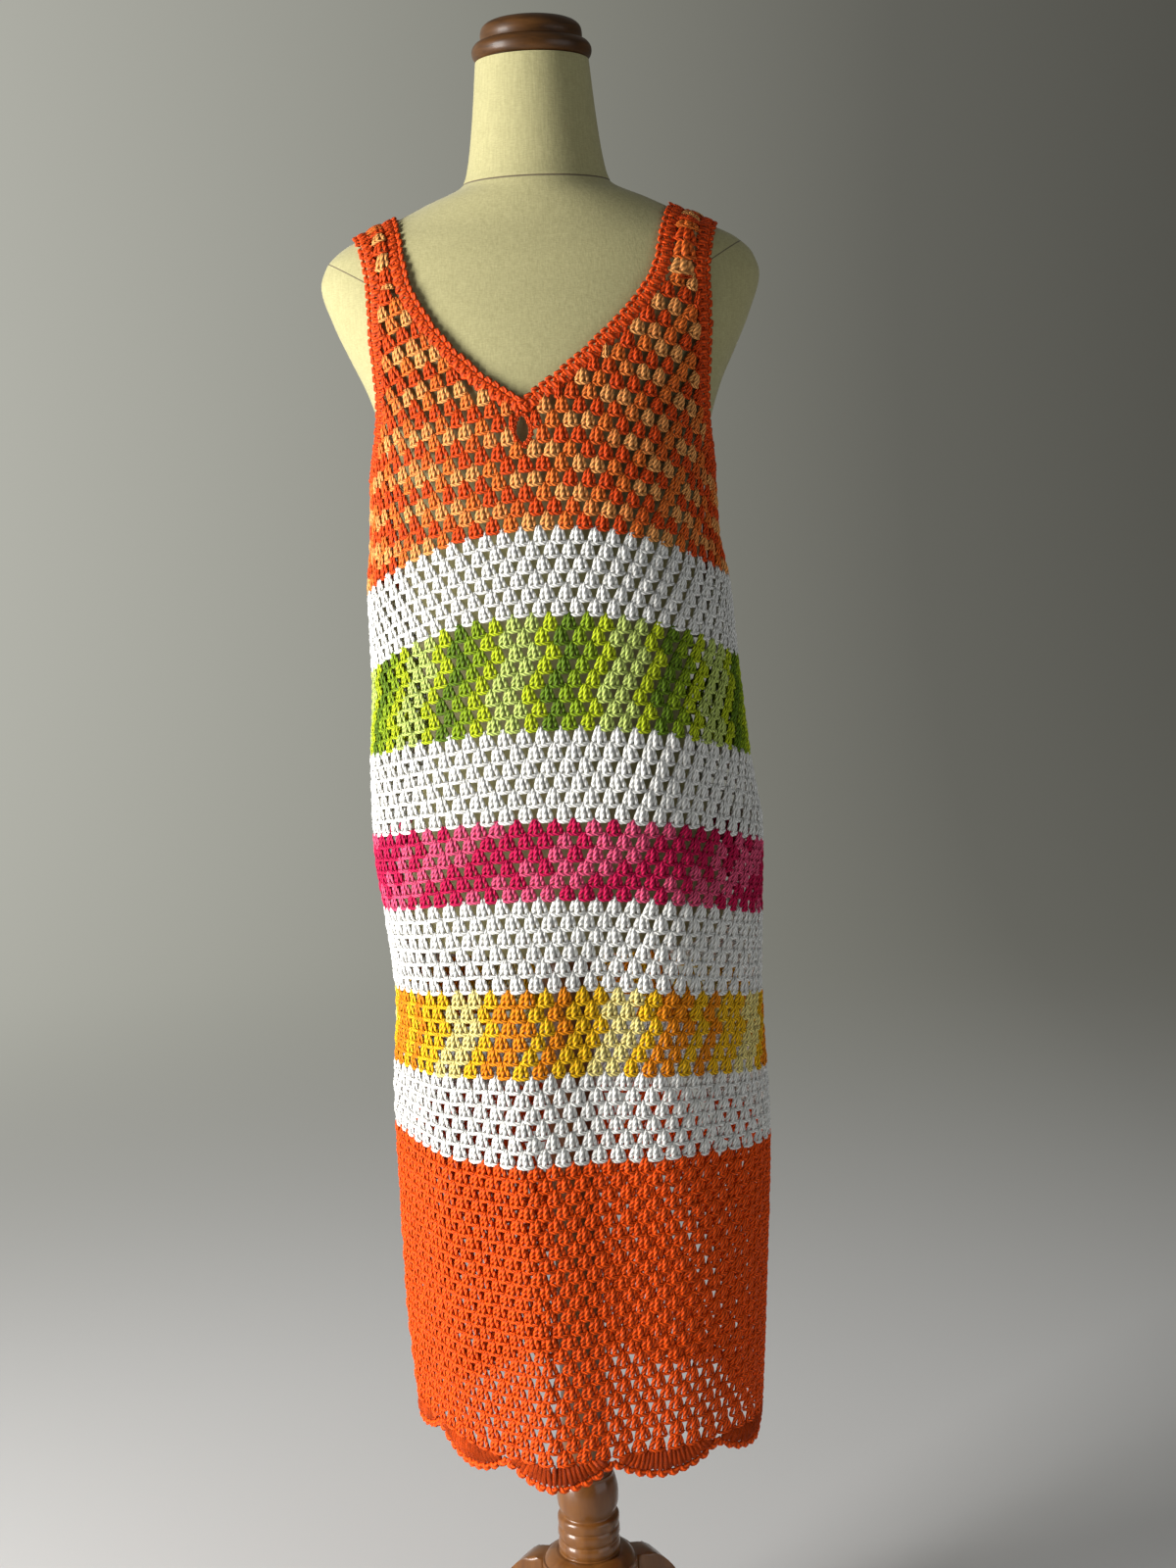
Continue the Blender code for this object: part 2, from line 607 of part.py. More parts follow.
def leg(name, angle, collection):
    """One cabriole leg: a flat outline with thickness, its edges eased, its foot flat."""
    curve = bpy.data.curves.new(name + "_outline", "CURVE")
    curve.dimensions = "2D"
    curve.fill_mode = "BOTH"
    curve.extrude = 0.5 * LEG_THICKNESS
    outline = curve.splines.new("POLY")
    outline.points.add(len(LEG_OUTLINE) - 1)
    for point, (reach, height) in zip(outline.points, LEG_OUTLINE):
        point.co = (HUB_RADIUS + reach, height, 0.0, 1.0)
    outline.use_cyclic_u = True
    guide = bpy.data.objects.new(name + "_outline", curve)
    collection.objects.link(guide)
    shape = guide.evaluated_get(bpy.context.evaluated_depsgraph_get())
    data = bpy.data.meshes.new_from_object(shape)
    bpy.data.objects.remove(guide, do_unlink=True)
    work = bmesh.new()
    work.from_mesh(data)
    bmesh.ops.remove_doubles(work, verts=work.verts, dist=0.00005)
    work.transform(Matrix.Rotation(math.radians(90.0), 4, "X"))
    bmesh.ops.recalc_face_normals(work, faces=work.faces)
    work.to_mesh(data)
    work.free()
    data.name = name
    data.materials.clear()
    thing = add_object(name, data, "honey_wood", collection)
    thing.rotation_euler = (0.0, 0.0, math.radians(angle))
    ease = thing.modifiers.new("eased edges", "BEVEL")
    ease.width = 0.003
    ease.segments = 2
    ease.limit_method = "ANGLE"
    ease.angle_limit = math.radians(60.0)
    return thing


def stand(collection):
    """Cap, post, hub and the three legs."""
    turned("neck_cap", CAP_PROFILE, 32, "dark_wood", collection)
    turned("post", POST_PROFILE, 24, "honey_wood", collection)
    turned("hub", HUB_PROFILE, 28, "honey_wood", collection)
    for name, angle in zip(("leg_front", "leg_right", "leg_left"), LEG_ANGLES):
        leg(name, angle, collection)


def dress(collection):
    """All the crochet pieces."""
    front = bodice_panel("front", collection)
    back = bodice_panel("back", collection)
    neck_edging(front, back, collection)
    armhole_edging("left", front, back, collection)
    armhole_edging("right", front, back, collection)
    yarns = ("white_yarn", "green_yarn", "white_yarn", "pink_yarn",
             "white_yarn", "yellow_yarn", "white_yarn", "orange_yarn")
    for index, yarn in enumerate(yarns, start=1):
        band(BAND_LINES, index, collection, yarn)
    hem_edging(collection)


def centre_on_floor(collection):
    """Carry everything on an empty that puts the footprint's middle at the origin."""
    bpy.context.view_layer.update()
    graph = bpy.context.evaluated_depsgraph_get()
    corners = []
    for thing in collection.objects:
        shown = thing.evaluated_get(graph)
        corners += [thing.matrix_world @ vert.co for vert in shown.data.vertices]
    xs, ys = [c.x for c in corners], [c.y for c in corners]
    carrier = bpy.data.objects.new("carrier", None)
    collection.objects.link(carrier)
    for thing in list(collection.objects):
        if thing is not carrier:
            thing.parent = carrier
    carrier.location = (-0.5 * (min(xs) + max(xs)), -0.5 * (min(ys) + max(ys)), 0.0)


def main():
    """Build the dress, the form and the stand."""
    clear_scene()
    collection = bpy.data.collections.new("crochet_dress_on_form")
    bpy.context.scene.collection.children.link(collection)
    torso(collection)
    stand(collection)
    dress(collection)
    centre_on_floor(collection)


main()
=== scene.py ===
"""Crochet dress on a limbless dress form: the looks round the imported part.

Metres, +Z up, the front faces -Y. The tables and the forms' functions are the part's own,
laid out round the post's axis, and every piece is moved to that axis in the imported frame.
"""
import math

import bmesh
import bpy
import numpy as np
from mathutils import Matrix, Vector


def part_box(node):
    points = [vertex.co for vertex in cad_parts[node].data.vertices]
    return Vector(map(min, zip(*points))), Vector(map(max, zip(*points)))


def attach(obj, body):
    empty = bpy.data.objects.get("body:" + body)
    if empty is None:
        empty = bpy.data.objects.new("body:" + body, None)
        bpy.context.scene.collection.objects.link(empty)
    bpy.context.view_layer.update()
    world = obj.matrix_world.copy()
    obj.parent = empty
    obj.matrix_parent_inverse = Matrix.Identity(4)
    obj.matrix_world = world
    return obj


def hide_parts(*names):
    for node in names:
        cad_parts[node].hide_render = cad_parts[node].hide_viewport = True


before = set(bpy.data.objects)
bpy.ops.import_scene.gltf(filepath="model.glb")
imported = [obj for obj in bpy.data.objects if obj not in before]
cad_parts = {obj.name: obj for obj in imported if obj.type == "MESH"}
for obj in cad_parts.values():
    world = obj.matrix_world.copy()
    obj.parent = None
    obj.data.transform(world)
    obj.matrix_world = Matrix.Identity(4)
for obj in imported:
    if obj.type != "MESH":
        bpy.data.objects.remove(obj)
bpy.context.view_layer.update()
post_low, post_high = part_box("post")
AXIS = np.array([0.5 * (post_low[0] + post_high[0]), 0.5 * (post_low[1] + post_high[1]), 0.0])

# Sizes that the part and its looks share
SEAM_GAP = 0.0003
EDGING_LIFT = 0.0007
SHOULDER_LIFT = 0.0013
EDGING_WIDTH = 0.009
RING_STEPS = 48
SCALLOPS = 9
SCALLOP_DROP = 0.020
NOTCH_X = 0.025
HEM_HEIGHT = 0.331
EDGING_TOP = 0.366
SHOULDER_CLEARANCE = 0.0026
SHOULDER_START = 1.395
SHOULDER_TOP = 1.484
TORSO_BOTTOM = 0.806
WORN_ABOVE = 1.30
BACK_POWER = 2.1
SIDE_RADIUS = 0.15
LEG_THICKNESS = 0.028
LEG_ANGLES = (-90.0, 30.0, 150.0)
HUB_RADIUS = 0.047

# Sections of the form: half width, reach to the front and to the back, squareness
FORM_SECTIONS = (
    # height, half, front, back, power
    (1.5900, 0.0500, 0.0500, 0.0500, 2.0),
    (1.5400, 0.0550, 0.0520, 0.0530, 2.0),
    (1.5000, 0.0610, 0.0550, 0.0570, 2.0),
    (1.4860, 0.0660, 0.0580, 0.0620, 2.0),
    (1.4700, 0.0998, 0.0620, 0.0690, 2.0),
    (1.4510, 0.1400, 0.0670, 0.0770, 2.0),
    (1.4340, 0.1760, 0.0730, 0.0840, 2.0),
    (1.4200, 0.1900, 0.0780, 0.0880, 2.0),
    (1.4030, 0.1955, 0.0830, 0.0920, 2.0),
    (1.3700, 0.1860, 0.0930, 0.0970, 2.1),
    (1.3400, 0.1730, 0.1010, 0.1000, 2.1),
    (1.3070, 0.1580, 0.1090, 0.1010, 2.2),
    (1.2700, 0.1470, 0.1170, 0.1000, 2.2),
    (1.2200, 0.1400, 0.1220, 0.0960, 2.2),
    (1.1800, 0.1380, 0.1210, 0.0920, 2.2),
    (1.1200, 0.1310, 0.1060, 0.0860, 2.1),
    (1.0600, 0.1220, 0.0950, 0.0820, 2.1),
    (1.0100, 0.1180, 0.0910, 0.0850, 2.1),
    (0.9600, 0.1270, 0.0950, 0.0960, 2.1),
    (0.9000, 0.1430, 0.1000, 0.1080, 2.1),
    (0.8500, 0.1500, 0.1000, 0.1100, 2.1),
    (0.8150, 0.1500, 0.0980, 0.1070, 2.1),
    (0.8060, 0.1440, 0.0930, 0.1010, 2.1),
)

# Sections of the hanging cloth, measured to its inner face
CLOTH_SECTIONS = (
    # height, left, right, front, back, left_power, right_power, ridge_x
    (1.2700, 0.1560, 0.1530, 0.1210, 0.1040, 2.20, 2.20, 0.000),
    (1.2200, 0.1570, 0.1480, 0.1270, 0.1020, 2.20, 2.20, 0.000),
    (1.1800, 0.1590, 0.1490, 0.1290, 0.1010, 2.20, 2.20, 0.000),
    (1.1300, 0.1640, 0.1580, 0.1280, 0.1020, 2.20, 2.20, 0.000),
    (1.0600, 0.1640, 0.1640, 0.1250, 0.1060, 2.20, 2.20, 0.000),
    (0.9650, 0.1700, 0.1740, 0.1240, 0.1130, 2.15, 2.15, 0.000),
    (0.9000, 0.1710, 0.1830, 0.1250, 0.1170, 2.05, 2.15, -0.010),
    (0.8300, 0.1640, 0.1810, 0.1270, 0.1180, 1.90, 2.10, -0.020),
    (0.7500, 0.1580, 0.1790, 0.1300, 0.1160, 1.75, 2.10, -0.028),
    (0.6300, 0.1600, 0.1830, 0.1380, 0.1110, 1.60, 2.20, -0.033),
    (0.4600, 0.1590, 0.1760, 0.1480, 0.1040, 1.50, 2.30, -0.028),
    (0.3200, 0.1510, 0.1680, 0.1540, 0.1000, 1.45, 2.35, -0.022),
)

# Long soft folds: heights, the angle from the front at each end, half spread and depth
FOLDS = (
    # name, top, bottom, top_angle, bottom_angle, spread, depth
    ("bust to front ridge", 1.060, 0.830, 48.0, -6.0, 11.0, 0.007),
    ("front ridge", 0.860, 0.200, -6.0, -6.0, 9.0, 0.006),
    ("right front crease", 0.980, 0.560, 34.0, 30.0, 9.0, 0.006),
    ("right front trough", 0.900, 0.200, 18.0, 22.0, 9.0, -0.005),
    ("left front fold", 0.900, 0.200, -40.0, -36.0, 8.0, 0.004),
    ("right side fold", 0.700, 0.200, 66.0, 62.0, 9.0, 0.006),
    ("back left fold", 1.060, 0.200, -132.0, -140.0, 10.0, 0.008),
    ("back middle fold", 0.820, 0.200, 172.0, 176.0, 11.0, 0.010),
    ("back right fold", 1.000, 0.200, 128.0, 138.0, 10.0, 0.008),
    ("left side fold", 0.760, 0.200, -84.0, -88.0, 9.0, 0.005),
)

# Heights of the lines between the bands, at the left side, front, right side and back
BAND_LINES = (
    # name, left, front, right, back
    ("bodice", 1.129, 1.188, 1.134, 1.140),
    ("white_1", 1.059, 1.115, 1.062, 1.066),
    ("green", 0.983, 1.016, 0.971, 0.985),
    ("white_2", 0.909, 0.936, 0.892, 0.908),
    ("pink", 0.840, 0.867, 0.824, 0.838),
    ("white_3", 0.765, 0.786, 0.748, 0.762),
    ("yellow", 0.693, 0.709, 0.677, 0.690),
    ("white_4", 0.631, 0.629, 0.613, 0.622),
    ("orange", EDGING_TOP, EDGING_TOP, EDGING_TOP, EDGING_TOP),
)

# Edges of the bodice panels: neck lines and keyhole as x, armholes as angles
FRONT_NECK = (
    # height, left_x, right_x
    (1.2560, -0.0180, -0.0180),
    (1.2620, -0.0240, -0.0120),
    (1.2700, -0.0258, -0.0102),
    (1.2780, -0.0240, -0.0120),
    (1.2840, -0.0200, -0.0160),
    (1.2900, -0.0285, -0.0085),
    (1.3070, -0.0580, 0.0180),
    (1.3310, -0.0810, 0.0480),
    (1.3560, -0.1000, 0.0740),
    (1.3770, -0.1145, 0.0950),
    (1.3950, -0.1215, 0.1065),
)
BACK_NECK = (
    # height, left_x, right_x
    (1.3300, -0.0040, -0.0040),
    (1.3330, -0.0360, 0.0280),
    (1.3420, -0.0620, 0.0540),
    (1.3560, -0.0840, 0.0750),
    (1.3770, -0.1030, 0.0930),
    (1.3950, -0.1120, 0.1010),
)
ARMHOLE = (
    # height, left_angle, right_angle
    (1.2160, 90.0, 90.0),
    (1.2220, 82.0, 82.0),
    (1.2340, 74.0, 73.0),
    (1.2560, 67.0, 65.0),
    (1.2900, 60.0, 58.0),
    (1.3420, 50.5, 49.5),
    (1.3950, 43.5, 42.5),
)
STRAP_TOP = {"left": (-0.1370, -0.1550), "right": (0.1290, 0.1480)}
STRAP_STEPS = 5
PANEL_HEIGHTS = {
    "front": (1.216, 1.222, 1.234, 1.256, 1.262, 1.270, 1.278, 1.284, 1.290, 1.307,
              1.331, 1.356, 1.377, 1.395),
    "back": (1.216, 1.222, 1.234, 1.256, 1.290, 1.330, 1.333, 1.342, 1.356, 1.377, 1.395),
}

# Turned profiles: radius and height from the top down
CAP_PROFILE = (
    (0.0000, 1.6270), (0.0200, 1.6262), (0.0360, 1.6235), (0.0430, 1.6190), (0.0448, 1.6130),
    (0.0450, 1.6070), (0.0490, 1.6055), (0.0520, 1.6020), (0.0528, 1.5980), (0.0518, 1.5940),
    (0.0490, 1.5910), (0.0450, 1.5903), (0.0000, 1.5903),
)
POST_PROFILE = (
    (0.0000, 0.8057), (0.0400, 0.8057), (0.0430, 0.8030), (0.0430, 0.7960), (0.0400, 0.7930),
    (0.0280, 0.7900), (0.0245, 0.7800), (0.0235, 0.7600), (0.0225, 0.5200), (0.0230, 0.2900),
    (0.0240, 0.2660), (0.0262, 0.2635), (0.0262, 0.2605), (0.0280, 0.2560), (0.0300, 0.2470),
    (0.0304, 0.2390), (0.0296, 0.2300), (0.0270, 0.2225), (0.0272, 0.2205), (0.0300, 0.2180),
    (0.0305, 0.2140), (0.0300, 0.2095), (0.0292, 0.2080), (0.0304, 0.2050), (0.0306, 0.2000),
    (0.0296, 0.1955), (0.0290, 0.1940), (0.0303, 0.1905), (0.0305, 0.1860), (0.0294, 0.1815),
    (0.0280, 0.1803), (0.0000, 0.1803),
)
HUB_PROFILE = (
    (0.0000, 0.1800), (0.0290, 0.1800), (0.0340, 0.1795), (0.0400, 0.1765), (0.0448, 0.1710),
    (HUB_RADIUS, 0.1640), (HUB_RADIUS, 0.0960), (0.0440, 0.0900), (0.0300, 0.0830),
    (0.0220, 0.0740), (0.0120, 0.0680), (0.0000, 0.0665),
)
# One leg seen from the side: reach from the hub's face and height
LEG_OUTLINE = (
    (0.0003, 0.1620), (0.0160, 0.1610), (0.0320, 0.1500), (0.0450, 0.1330), (0.0570, 0.1080),
    (0.0680, 0.0800), (0.0820, 0.0550), (0.1020, 0.0370), (0.1270, 0.0270), (0.1520, 0.0240),
    (0.1690, 0.0220), (0.1760, 0.0150), (0.1760, 0.0050), (0.1720, 0.0000), (0.1300, 0.0000),
    (0.1220, 0.0060), (0.1020, 0.0120), (0.0800, 0.0240), (0.0600, 0.0430), (0.0430, 0.0680),
    (0.0280, 0.0900), (0.0140, 0.1020), (0.0003, 0.1060),
)


# Smooth interpolation in the section tables
def smooth_value(x, xs, ys):
    """Monotone cubic through the points (xs rising) at x."""
    xs, ys, x = np.asarray(xs, float), np.asarray(ys, float), np.asarray(x, float)
    step = np.diff(xs)
    slope = np.diff(ys) / step
    tangent = np.zeros(len(xs))
    same = slope[1:] * slope[:-1] > 0
    mean = 2.0 * slope[1:] * slope[:-1] / np.where(same, slope[1:] + slope[:-1], 1.0)
    tangent[1:-1] = np.where(same, mean, 0.0)
    tangent[0], tangent[-1] = slope[0], slope[-1]
    x = np.clip(x, xs[0], xs[-1])
    k = np.clip(np.searchsorted(xs, x, side="right") - 1, 0, len(step) - 1)
    t = (x - xs[k]) / step[k]
    return ((2 * t**3 - 3 * t**2 + 1) * ys[k] + (t**3 - 2 * t**2 + t) * step[k] * tangent[k]
            + (3 * t**2 - 2 * t**3) * ys[k + 1] + (t**3 - t**2) * step[k] * tangent[k + 1])


def dense_table(table):
    """Columns of a section table, smoothed once at close heights; the tables run downwards."""
    rows = np.array(table)[::-1]
    heights = np.linspace(rows[0, 0], rows[-1, 0], 6001)
    return heights, [smooth_value(heights, rows[:, 0], rows[:, c])
                     for c in range(1, rows.shape[1])]


def table_values(table, height):
    """Each column of a smoothed table at a height."""
    heights, columns = table
    return [np.interp(height, heights, column) for column in columns]


def cloth_table():
    """Cloth sections: the form's own, just outside it, down to the bust, then the hanging ones."""
    grow = SHOULDER_CLEARANCE
    worn = [(h, half + grow, half + grow, front + grow, back + grow, power, power, 0.0)
            for h, half, front, back, power in FORM_SECTIONS if h > WORN_ABOVE]
    return tuple(worn) + CLOTH_SECTIONS


FORM_TABLE = dense_table(FORM_SECTIONS)
CLOTH_TABLE = dense_table(cloth_table())


def smooth_step(t):
    """Rise from 0 to 1 with level ends."""
    t = np.clip(t, 0.0, 1.0)
    return t * t * (3.0 - 2.0 * t)


def fold_depth(turn, height):
    """How far the folds push the cloth out at an angle from the front and a height."""
    total = np.zeros(np.broadcast(turn, height).shape)
    fade = 0.10
    for _, top, bottom, top_angle, bottom_angle, spread, depth in FOLDS:
        along = np.clip((top - height) / (top - bottom), 0.0, 1.0)
        middle = np.radians(top_angle + (bottom_angle - top_angle) * along)
        away = (turn - middle + math.pi) % (2.0 * math.pi) - math.pi
        strength = smooth_step((top - height) / fade) * smooth_step((height - bottom) / fade)
        total = total + depth * strength * np.exp(-0.5 * (away / math.radians(spread)) ** 2)
    return total


def cloth_point(turn, height):
    """Inner face of the cloth; turn is the angle from the front, positive towards +X."""
    turn, height = np.broadcast_arrays(np.asarray(turn, float), np.asarray(height, float))
    left, right, front, back, left_power, right_power, ridge = table_values(CLOTH_TABLE, height)
    sine, cosine = np.sin(turn), np.cos(turn)
    ahead = cosine > 0
    power = np.where(ahead, np.where(sine < 0, left_power, right_power), BACK_POWER)
    side = np.where(sine < 0, left, right) + fold_depth(turn, height)
    reach = np.where(ahead, front, back) + fold_depth(turn, height)
    x = side * np.sign(sine) * np.abs(sine) ** (2.0 / power)
    x = x + ridge * np.where(ahead, np.abs(cosine), 0.0) ** 2
    y = -reach * np.sign(cosine) * np.abs(cosine) ** (2.0 / power)
    return np.stack([x, y, height], axis=-1)


def turn_at_x(x, height, back=False):
    """Angle at which the cloth has a given x at a height."""
    low, high = (-0.5 * math.pi, 0.5 * math.pi)
    for _ in range(40):
        middle = 0.5 * (low + high)
        turn = math.pi - middle if back else middle
        if cloth_point(turn, height)[0] < x:
            low = middle
        else:
            high = middle
    return math.pi - low if back else low


def line_height(line, turn):
    """Height of a band line at an angle: it rises over the bust in front."""
    _, left, front, right, back = line
    cosine = np.cos(turn)
    side = np.where(np.sin(turn) < 0, left, right)
    ahead = np.maximum(cosine, 0.0) ** 1.6
    behind = np.maximum(-cosine, 0.0) ** 2
    return side + (front - side) * ahead + (back - side) * behind


def lengths_along(points):
    """Length from a line's first point to each of its points."""
    return np.concatenate([[0.0], np.cumsum(np.linalg.norm(np.diff(points, axis=0), axis=1))])


def ring_table(line, steps=721):
    """Share of a band line's length against its angles, from the back round, and its girth."""
    turns = np.linspace(-math.pi, math.pi, steps)
    length = lengths_along(cloth_point(turns, line_height(line, turns)))
    return length / length[-1], turns, length[-1]


def ring_turns(line, count):
    """Angles that part a band line into equal lengths, starting at the back."""
    share, turns, _ = ring_table(line, 1441)
    return np.interp(np.arange(count) / count, share, turns)


# Bodice panels
def shoulder_height(x, y):
    """Height of the cloth over the shoulder at a place seen from above."""
    low, high = SHOULDER_START - 0.001, SHOULDER_TOP + 0.05
    for _ in range(40):
        middle = 0.5 * (low + high)
        left, right, front, back, power, _, _ = table_values(CLOTH_TABLE, middle)
        side, reach = (left if x < 0 else right), (front if y < 0 else back)
        inside = abs(x / side) ** power + abs(y / reach) ** power
        low, high = (middle, high) if inside < 1.0 else (low, middle)
    return low


def strap_point(x, share, back):
    """Point of a strap: share 0 is where it leaves the panel, 1 is the shoulder seam."""
    start = cloth_point(turn_at_x(x, SHOULDER_START, back), SHOULDER_START)
    y = start[1] * math.cos(0.5 * math.pi * share)
    if share >= 1.0:
        y = (1.0 if back else -1.0) * 0.5 * SEAM_GAP
    if share <= 0.0:
        return start
    return np.array([x, y, shoulder_height(x, y)])


def panel_half(side, face, seam_turns):
    """Rows of points of half a panel, from the middle out to the side seam or armhole."""
    back = face == "back"
    neck = BACK_NECK if back else FRONT_NECK
    column = 1 if side == "left" else 2
    sign = -1.0 if side == "left" else 1.0
    neck_rows, arm_rows = np.array(neck), np.array(ARMHOLE)
    share = (seam_turns - seam_turns[0]) / (seam_turns[-1] - seam_turns[0])
    heights = PANEL_HEIGHTS[face]
    bottom_line = BAND_LINES[0]
    rows = []
    for t in (0.0, 0.35, 0.7):
        low = line_height(bottom_line, seam_turns) + 0.5 * SEAM_GAP
        rows.append(cloth_point(seam_turns, low + (heights[0] - low) * t))
    for height in heights:
        angle = np.interp(height, arm_rows[:, 0], arm_rows[:, column])
        outer = sign * math.radians(180.0 - angle if back else angle)
        if back:
            outer = outer % (2.0 * math.pi)
        if height < neck_rows[0, 0]:
            low = bottom_line[4 if back else 2]
            inner = seam_turns[0]
            middle_x = neck_rows[0, column]
            blend = (height - low) / (neck_rows[0, 0] - low)
            inner += (turn_at_x(middle_x, neck_rows[0, 0], back) - inner) * smooth_step(blend)
        else:
            x = np.interp(height, neck_rows[:, 0], neck_rows[:, column])
            inner = turn_at_x(x, height, back)
        gap = 0.5 * SEAM_GAP if height <= heights[0] + 1e-6 else 0.0
        turns = inner + (outer - inner) * share
        turns[-1] -= sign * (gap if not back else -gap) / SIDE_RADIUS
        rows.append(cloth_point(turns, height))
    for step in range(1, STRAP_STEPS + 1):
        t = step / STRAP_STEPS
        first, last = rows[len(heights) + 2][0][0], rows[len(heights) + 2][-1][0]
        inner = first + (STRAP_TOP[side][0] - first) * t
        outer = last + (STRAP_TOP[side][1] - last) * t
        rows.append(np.array([strap_point(inner + (outer - inner) * s, t, back) for s in share]))
    return np.array(rows)


def edge_rows(grid, first_row, inner):
    """Edge points of a half panel from a row up, with the direction out over the edge."""
    edge, inside = (0, 1) if inner else (-1, -2)
    points = grid[first_row:, edge]
    ways = points - grid[first_row:, inside]
    ways[0] = (0.0, 0.0, 1.0)
    return points, ways


# Sizes of the crochet
CLUSTERS = 58
ROW_HEIGHT = 0.0120
CLUSTER_WIDTH = 0.0162
CLOTH_MIDDLE = 0.0015
OUT_OF_SIGHT = (0.0, 0.0, -5.0)
STITCH_TILT = math.radians(5.0)
STITCH_SPREAD = 0.06
BODICE_ROWS = 26
STRAP_ROWS = 9
# Where the dyed runs stand at the middle of a panel and at the foot of each strap
BODICE_DYE_START = 60.0
STRAP_DYE_START = {"left": 3.0, "right": 5.0}
STRAP_DYE_ROW = 22
# How far a row's runs stray from their slant, and where one colour goes over into the next
DYE_STRAY = 0.35
DYE_STRAY_TURN = 1.7
DYE_CHANGE_START = 0.6
DYE_CHANGE_LENGTH = 0.8
# How far clusters go on under an edging, and the share of a cluster that is still worked there
EDGE_OVERLAP = 0.0012
LEAST_CLUSTER = 0.38
# Braided edging: one stitch to this length, set out from the edge and up off the form
EDGE_STITCH = 0.0080
EDGE_STITCH_SIZE = (1.24, 0.85, 1.24)
EDGING_MIDDLE = 0.40 * EDGING_WIDTH
EDGING_STAND = EDGING_LIFT + 0.0010
SHOULDER_EDGE = 1.43
SHOULDER_EASE = 0.02
KEYHOLE_STITCHES = 18
KEYHOLE_FACING = (-0.12, -1.0, 0.0)
KEYHOLE_STITCH_SIZE = (0.7, 0.8, 0.34)
# Hem: its top row, then fans of spokes over a row of bumps, all counted for one scallop
HEM_ROW = 0.0125
HEM_CLUSTERS = 6
FAN_SPOKES = 20
FAN_TOP_SPREAD = 0.36
FAN_LOW_SPREAD = 0.47
SCALLOP_ROUNDNESS = 0.7
BUMPS = 10
BUMP_SIZE = (1.25, 1.2, 1.15)
# How full a cluster is at its top: 0 leaves the widest gaps, 1 nearly closes them
OPEN, SNUG, FULL = 0.0, 0.2, 0.65

# Seeds of the stitches' small tilts; each band adds its number to its own
BODICE_SEED, KEYHOLE_SEED, EDGING_SEED, BAND_SEED, HEM_SEED = 3, 4, 5, 10, 30

# Yarn colours, linear red, green and blue
DEEP_ORANGE = (0.72, 0.070, 0.006)
ORANGE = (0.85, 0.19, 0.028)
PEACH = (0.88, 0.375, 0.110)
SKIRT_ORANGE = (0.87, 0.090, 0.003)
COTTON_WHITE = (0.75, 0.745, 0.715)
DARK_GREEN = (0.12, 0.21, 0.010)
LEAF_GREEN = (0.25, 0.37, 0.012)
LIME = (0.47, 0.57, 0.014)
PALE_LIME = (0.52, 0.63, 0.16)
MAGENTA = (0.56, 0.006, 0.075)
PINK = (0.76, 0.090, 0.20)
YELLOW = (0.88, 0.50, 0.010)
AMBER = (0.86, 0.27, 0.006)
CREAM = (0.86, 0.72, 0.26)

# Dyed runs along the yarn, one colour a cluster, with how far each row starts on from the last
DYES = {
    "bodice": ((DEEP_ORANGE, DEEP_ORANGE, ORANGE, PEACH, PEACH, ORANGE, DEEP_ORANGE), 2.62),
    "white": ((COTTON_WHITE,), 0.0),
    "green": ((DARK_GREEN, LEAF_GREEN, LIME, PALE_LIME, PALE_LIME, LIME), 0.28),
    "pink": ((MAGENTA, MAGENTA, MAGENTA, PINK, MAGENTA, PINK, PINK, PINK, MAGENTA), 1.35),
    "yellow": ((YELLOW, AMBER, YELLOW, YELLOW, CREAM, CREAM, YELLOW, AMBER, AMBER), 0.30),
    "orange": ((SKIRT_ORANGE,), 0.0),
}
BAND_STITCHES = (
    # name, rows, dye, how full the clusters are
    ("white_1", 6, "white", OPEN),
    ("green", 8, "green", OPEN),
    ("white_2", 6, "white", SNUG),
    ("pink", 6, "pink", SNUG),
    ("white_3", 6, "white", SNUG),
    ("yellow", 6, "yellow", SNUG),
    ("white_4", 6, "white", SNUG),
    ("orange", 22, "orange", FULL),
)


# Yarn, linen and wood
PLY_TURN = 0.0050
PLIES = 3.0
PLY_RELIEF = 0.0008
FIBRE_SCALE = 900.0
FIBRE_SHARE = 0.35
MOTTLE_SCALE = 160.0
MOTTLE_DARK, MOTTLE_LIGHT = 0.70, 1.30
YARN_TWIST = 0.8
# Painted shade and light along the plies: the yarn's colour runs from the groove value, painted shade
# between the plies, up to this crest value, painted light a little above the dye
PLY_CREST_PAINTED_LIGHT = 1.12
WHITE_GROOVE_PAINTED_SHADE = 0.72
DYED_GROOVE_PAINTED_SHADE = 0.40
SLUB_SCALE = (620.0, 620.0, 45.0)
WEFT_SCALE = (260.0, 260.0, 1100.0)
LINEN_TONES = ((0.35, (0.310, 0.284, 0.130)), (0.70, (0.400, 0.366, 0.180)))
SEAM_COLOUR = (0.11, 0.085, 0.045, 1.0)
NECK_SEAM = 1.4865
NECK_SEAM_HALF = 0.0007
NECK_GROOVE = 0.0006
# Each arm plate's seam runs where the height, less a slope outwards, has one value
ARM_SEAM_SLOPE = -0.62
ARM_SEAM_LEAN = -0.035
ARM_SEAM_CUT = 1.3135
ARM_SEAM_HALF = 0.0006
ARM_SEAM_START = 0.142
WOODS = {
    # name: slot, dark and light tone, grain scale, coat
    "dark": ("dark_varnished_wood", (0.036, 0.014, 0.003), (0.085, 0.034, 0.008),
             (30.0, 30.0, 160.0), 0.10),
    "honey": ("honey_varnished_wood", (0.105, 0.036, 0.006), (0.185, 0.070, 0.013),
              (60.0, 60.0, 9.0), 0.6),
}


def new_material(name):
    """Material with its node tree and its principled shader."""
    material = bpy.data.materials.new(name)
    material.use_nodes = True
    return material, material.node_tree, material.node_tree.nodes["Principled BSDF"]


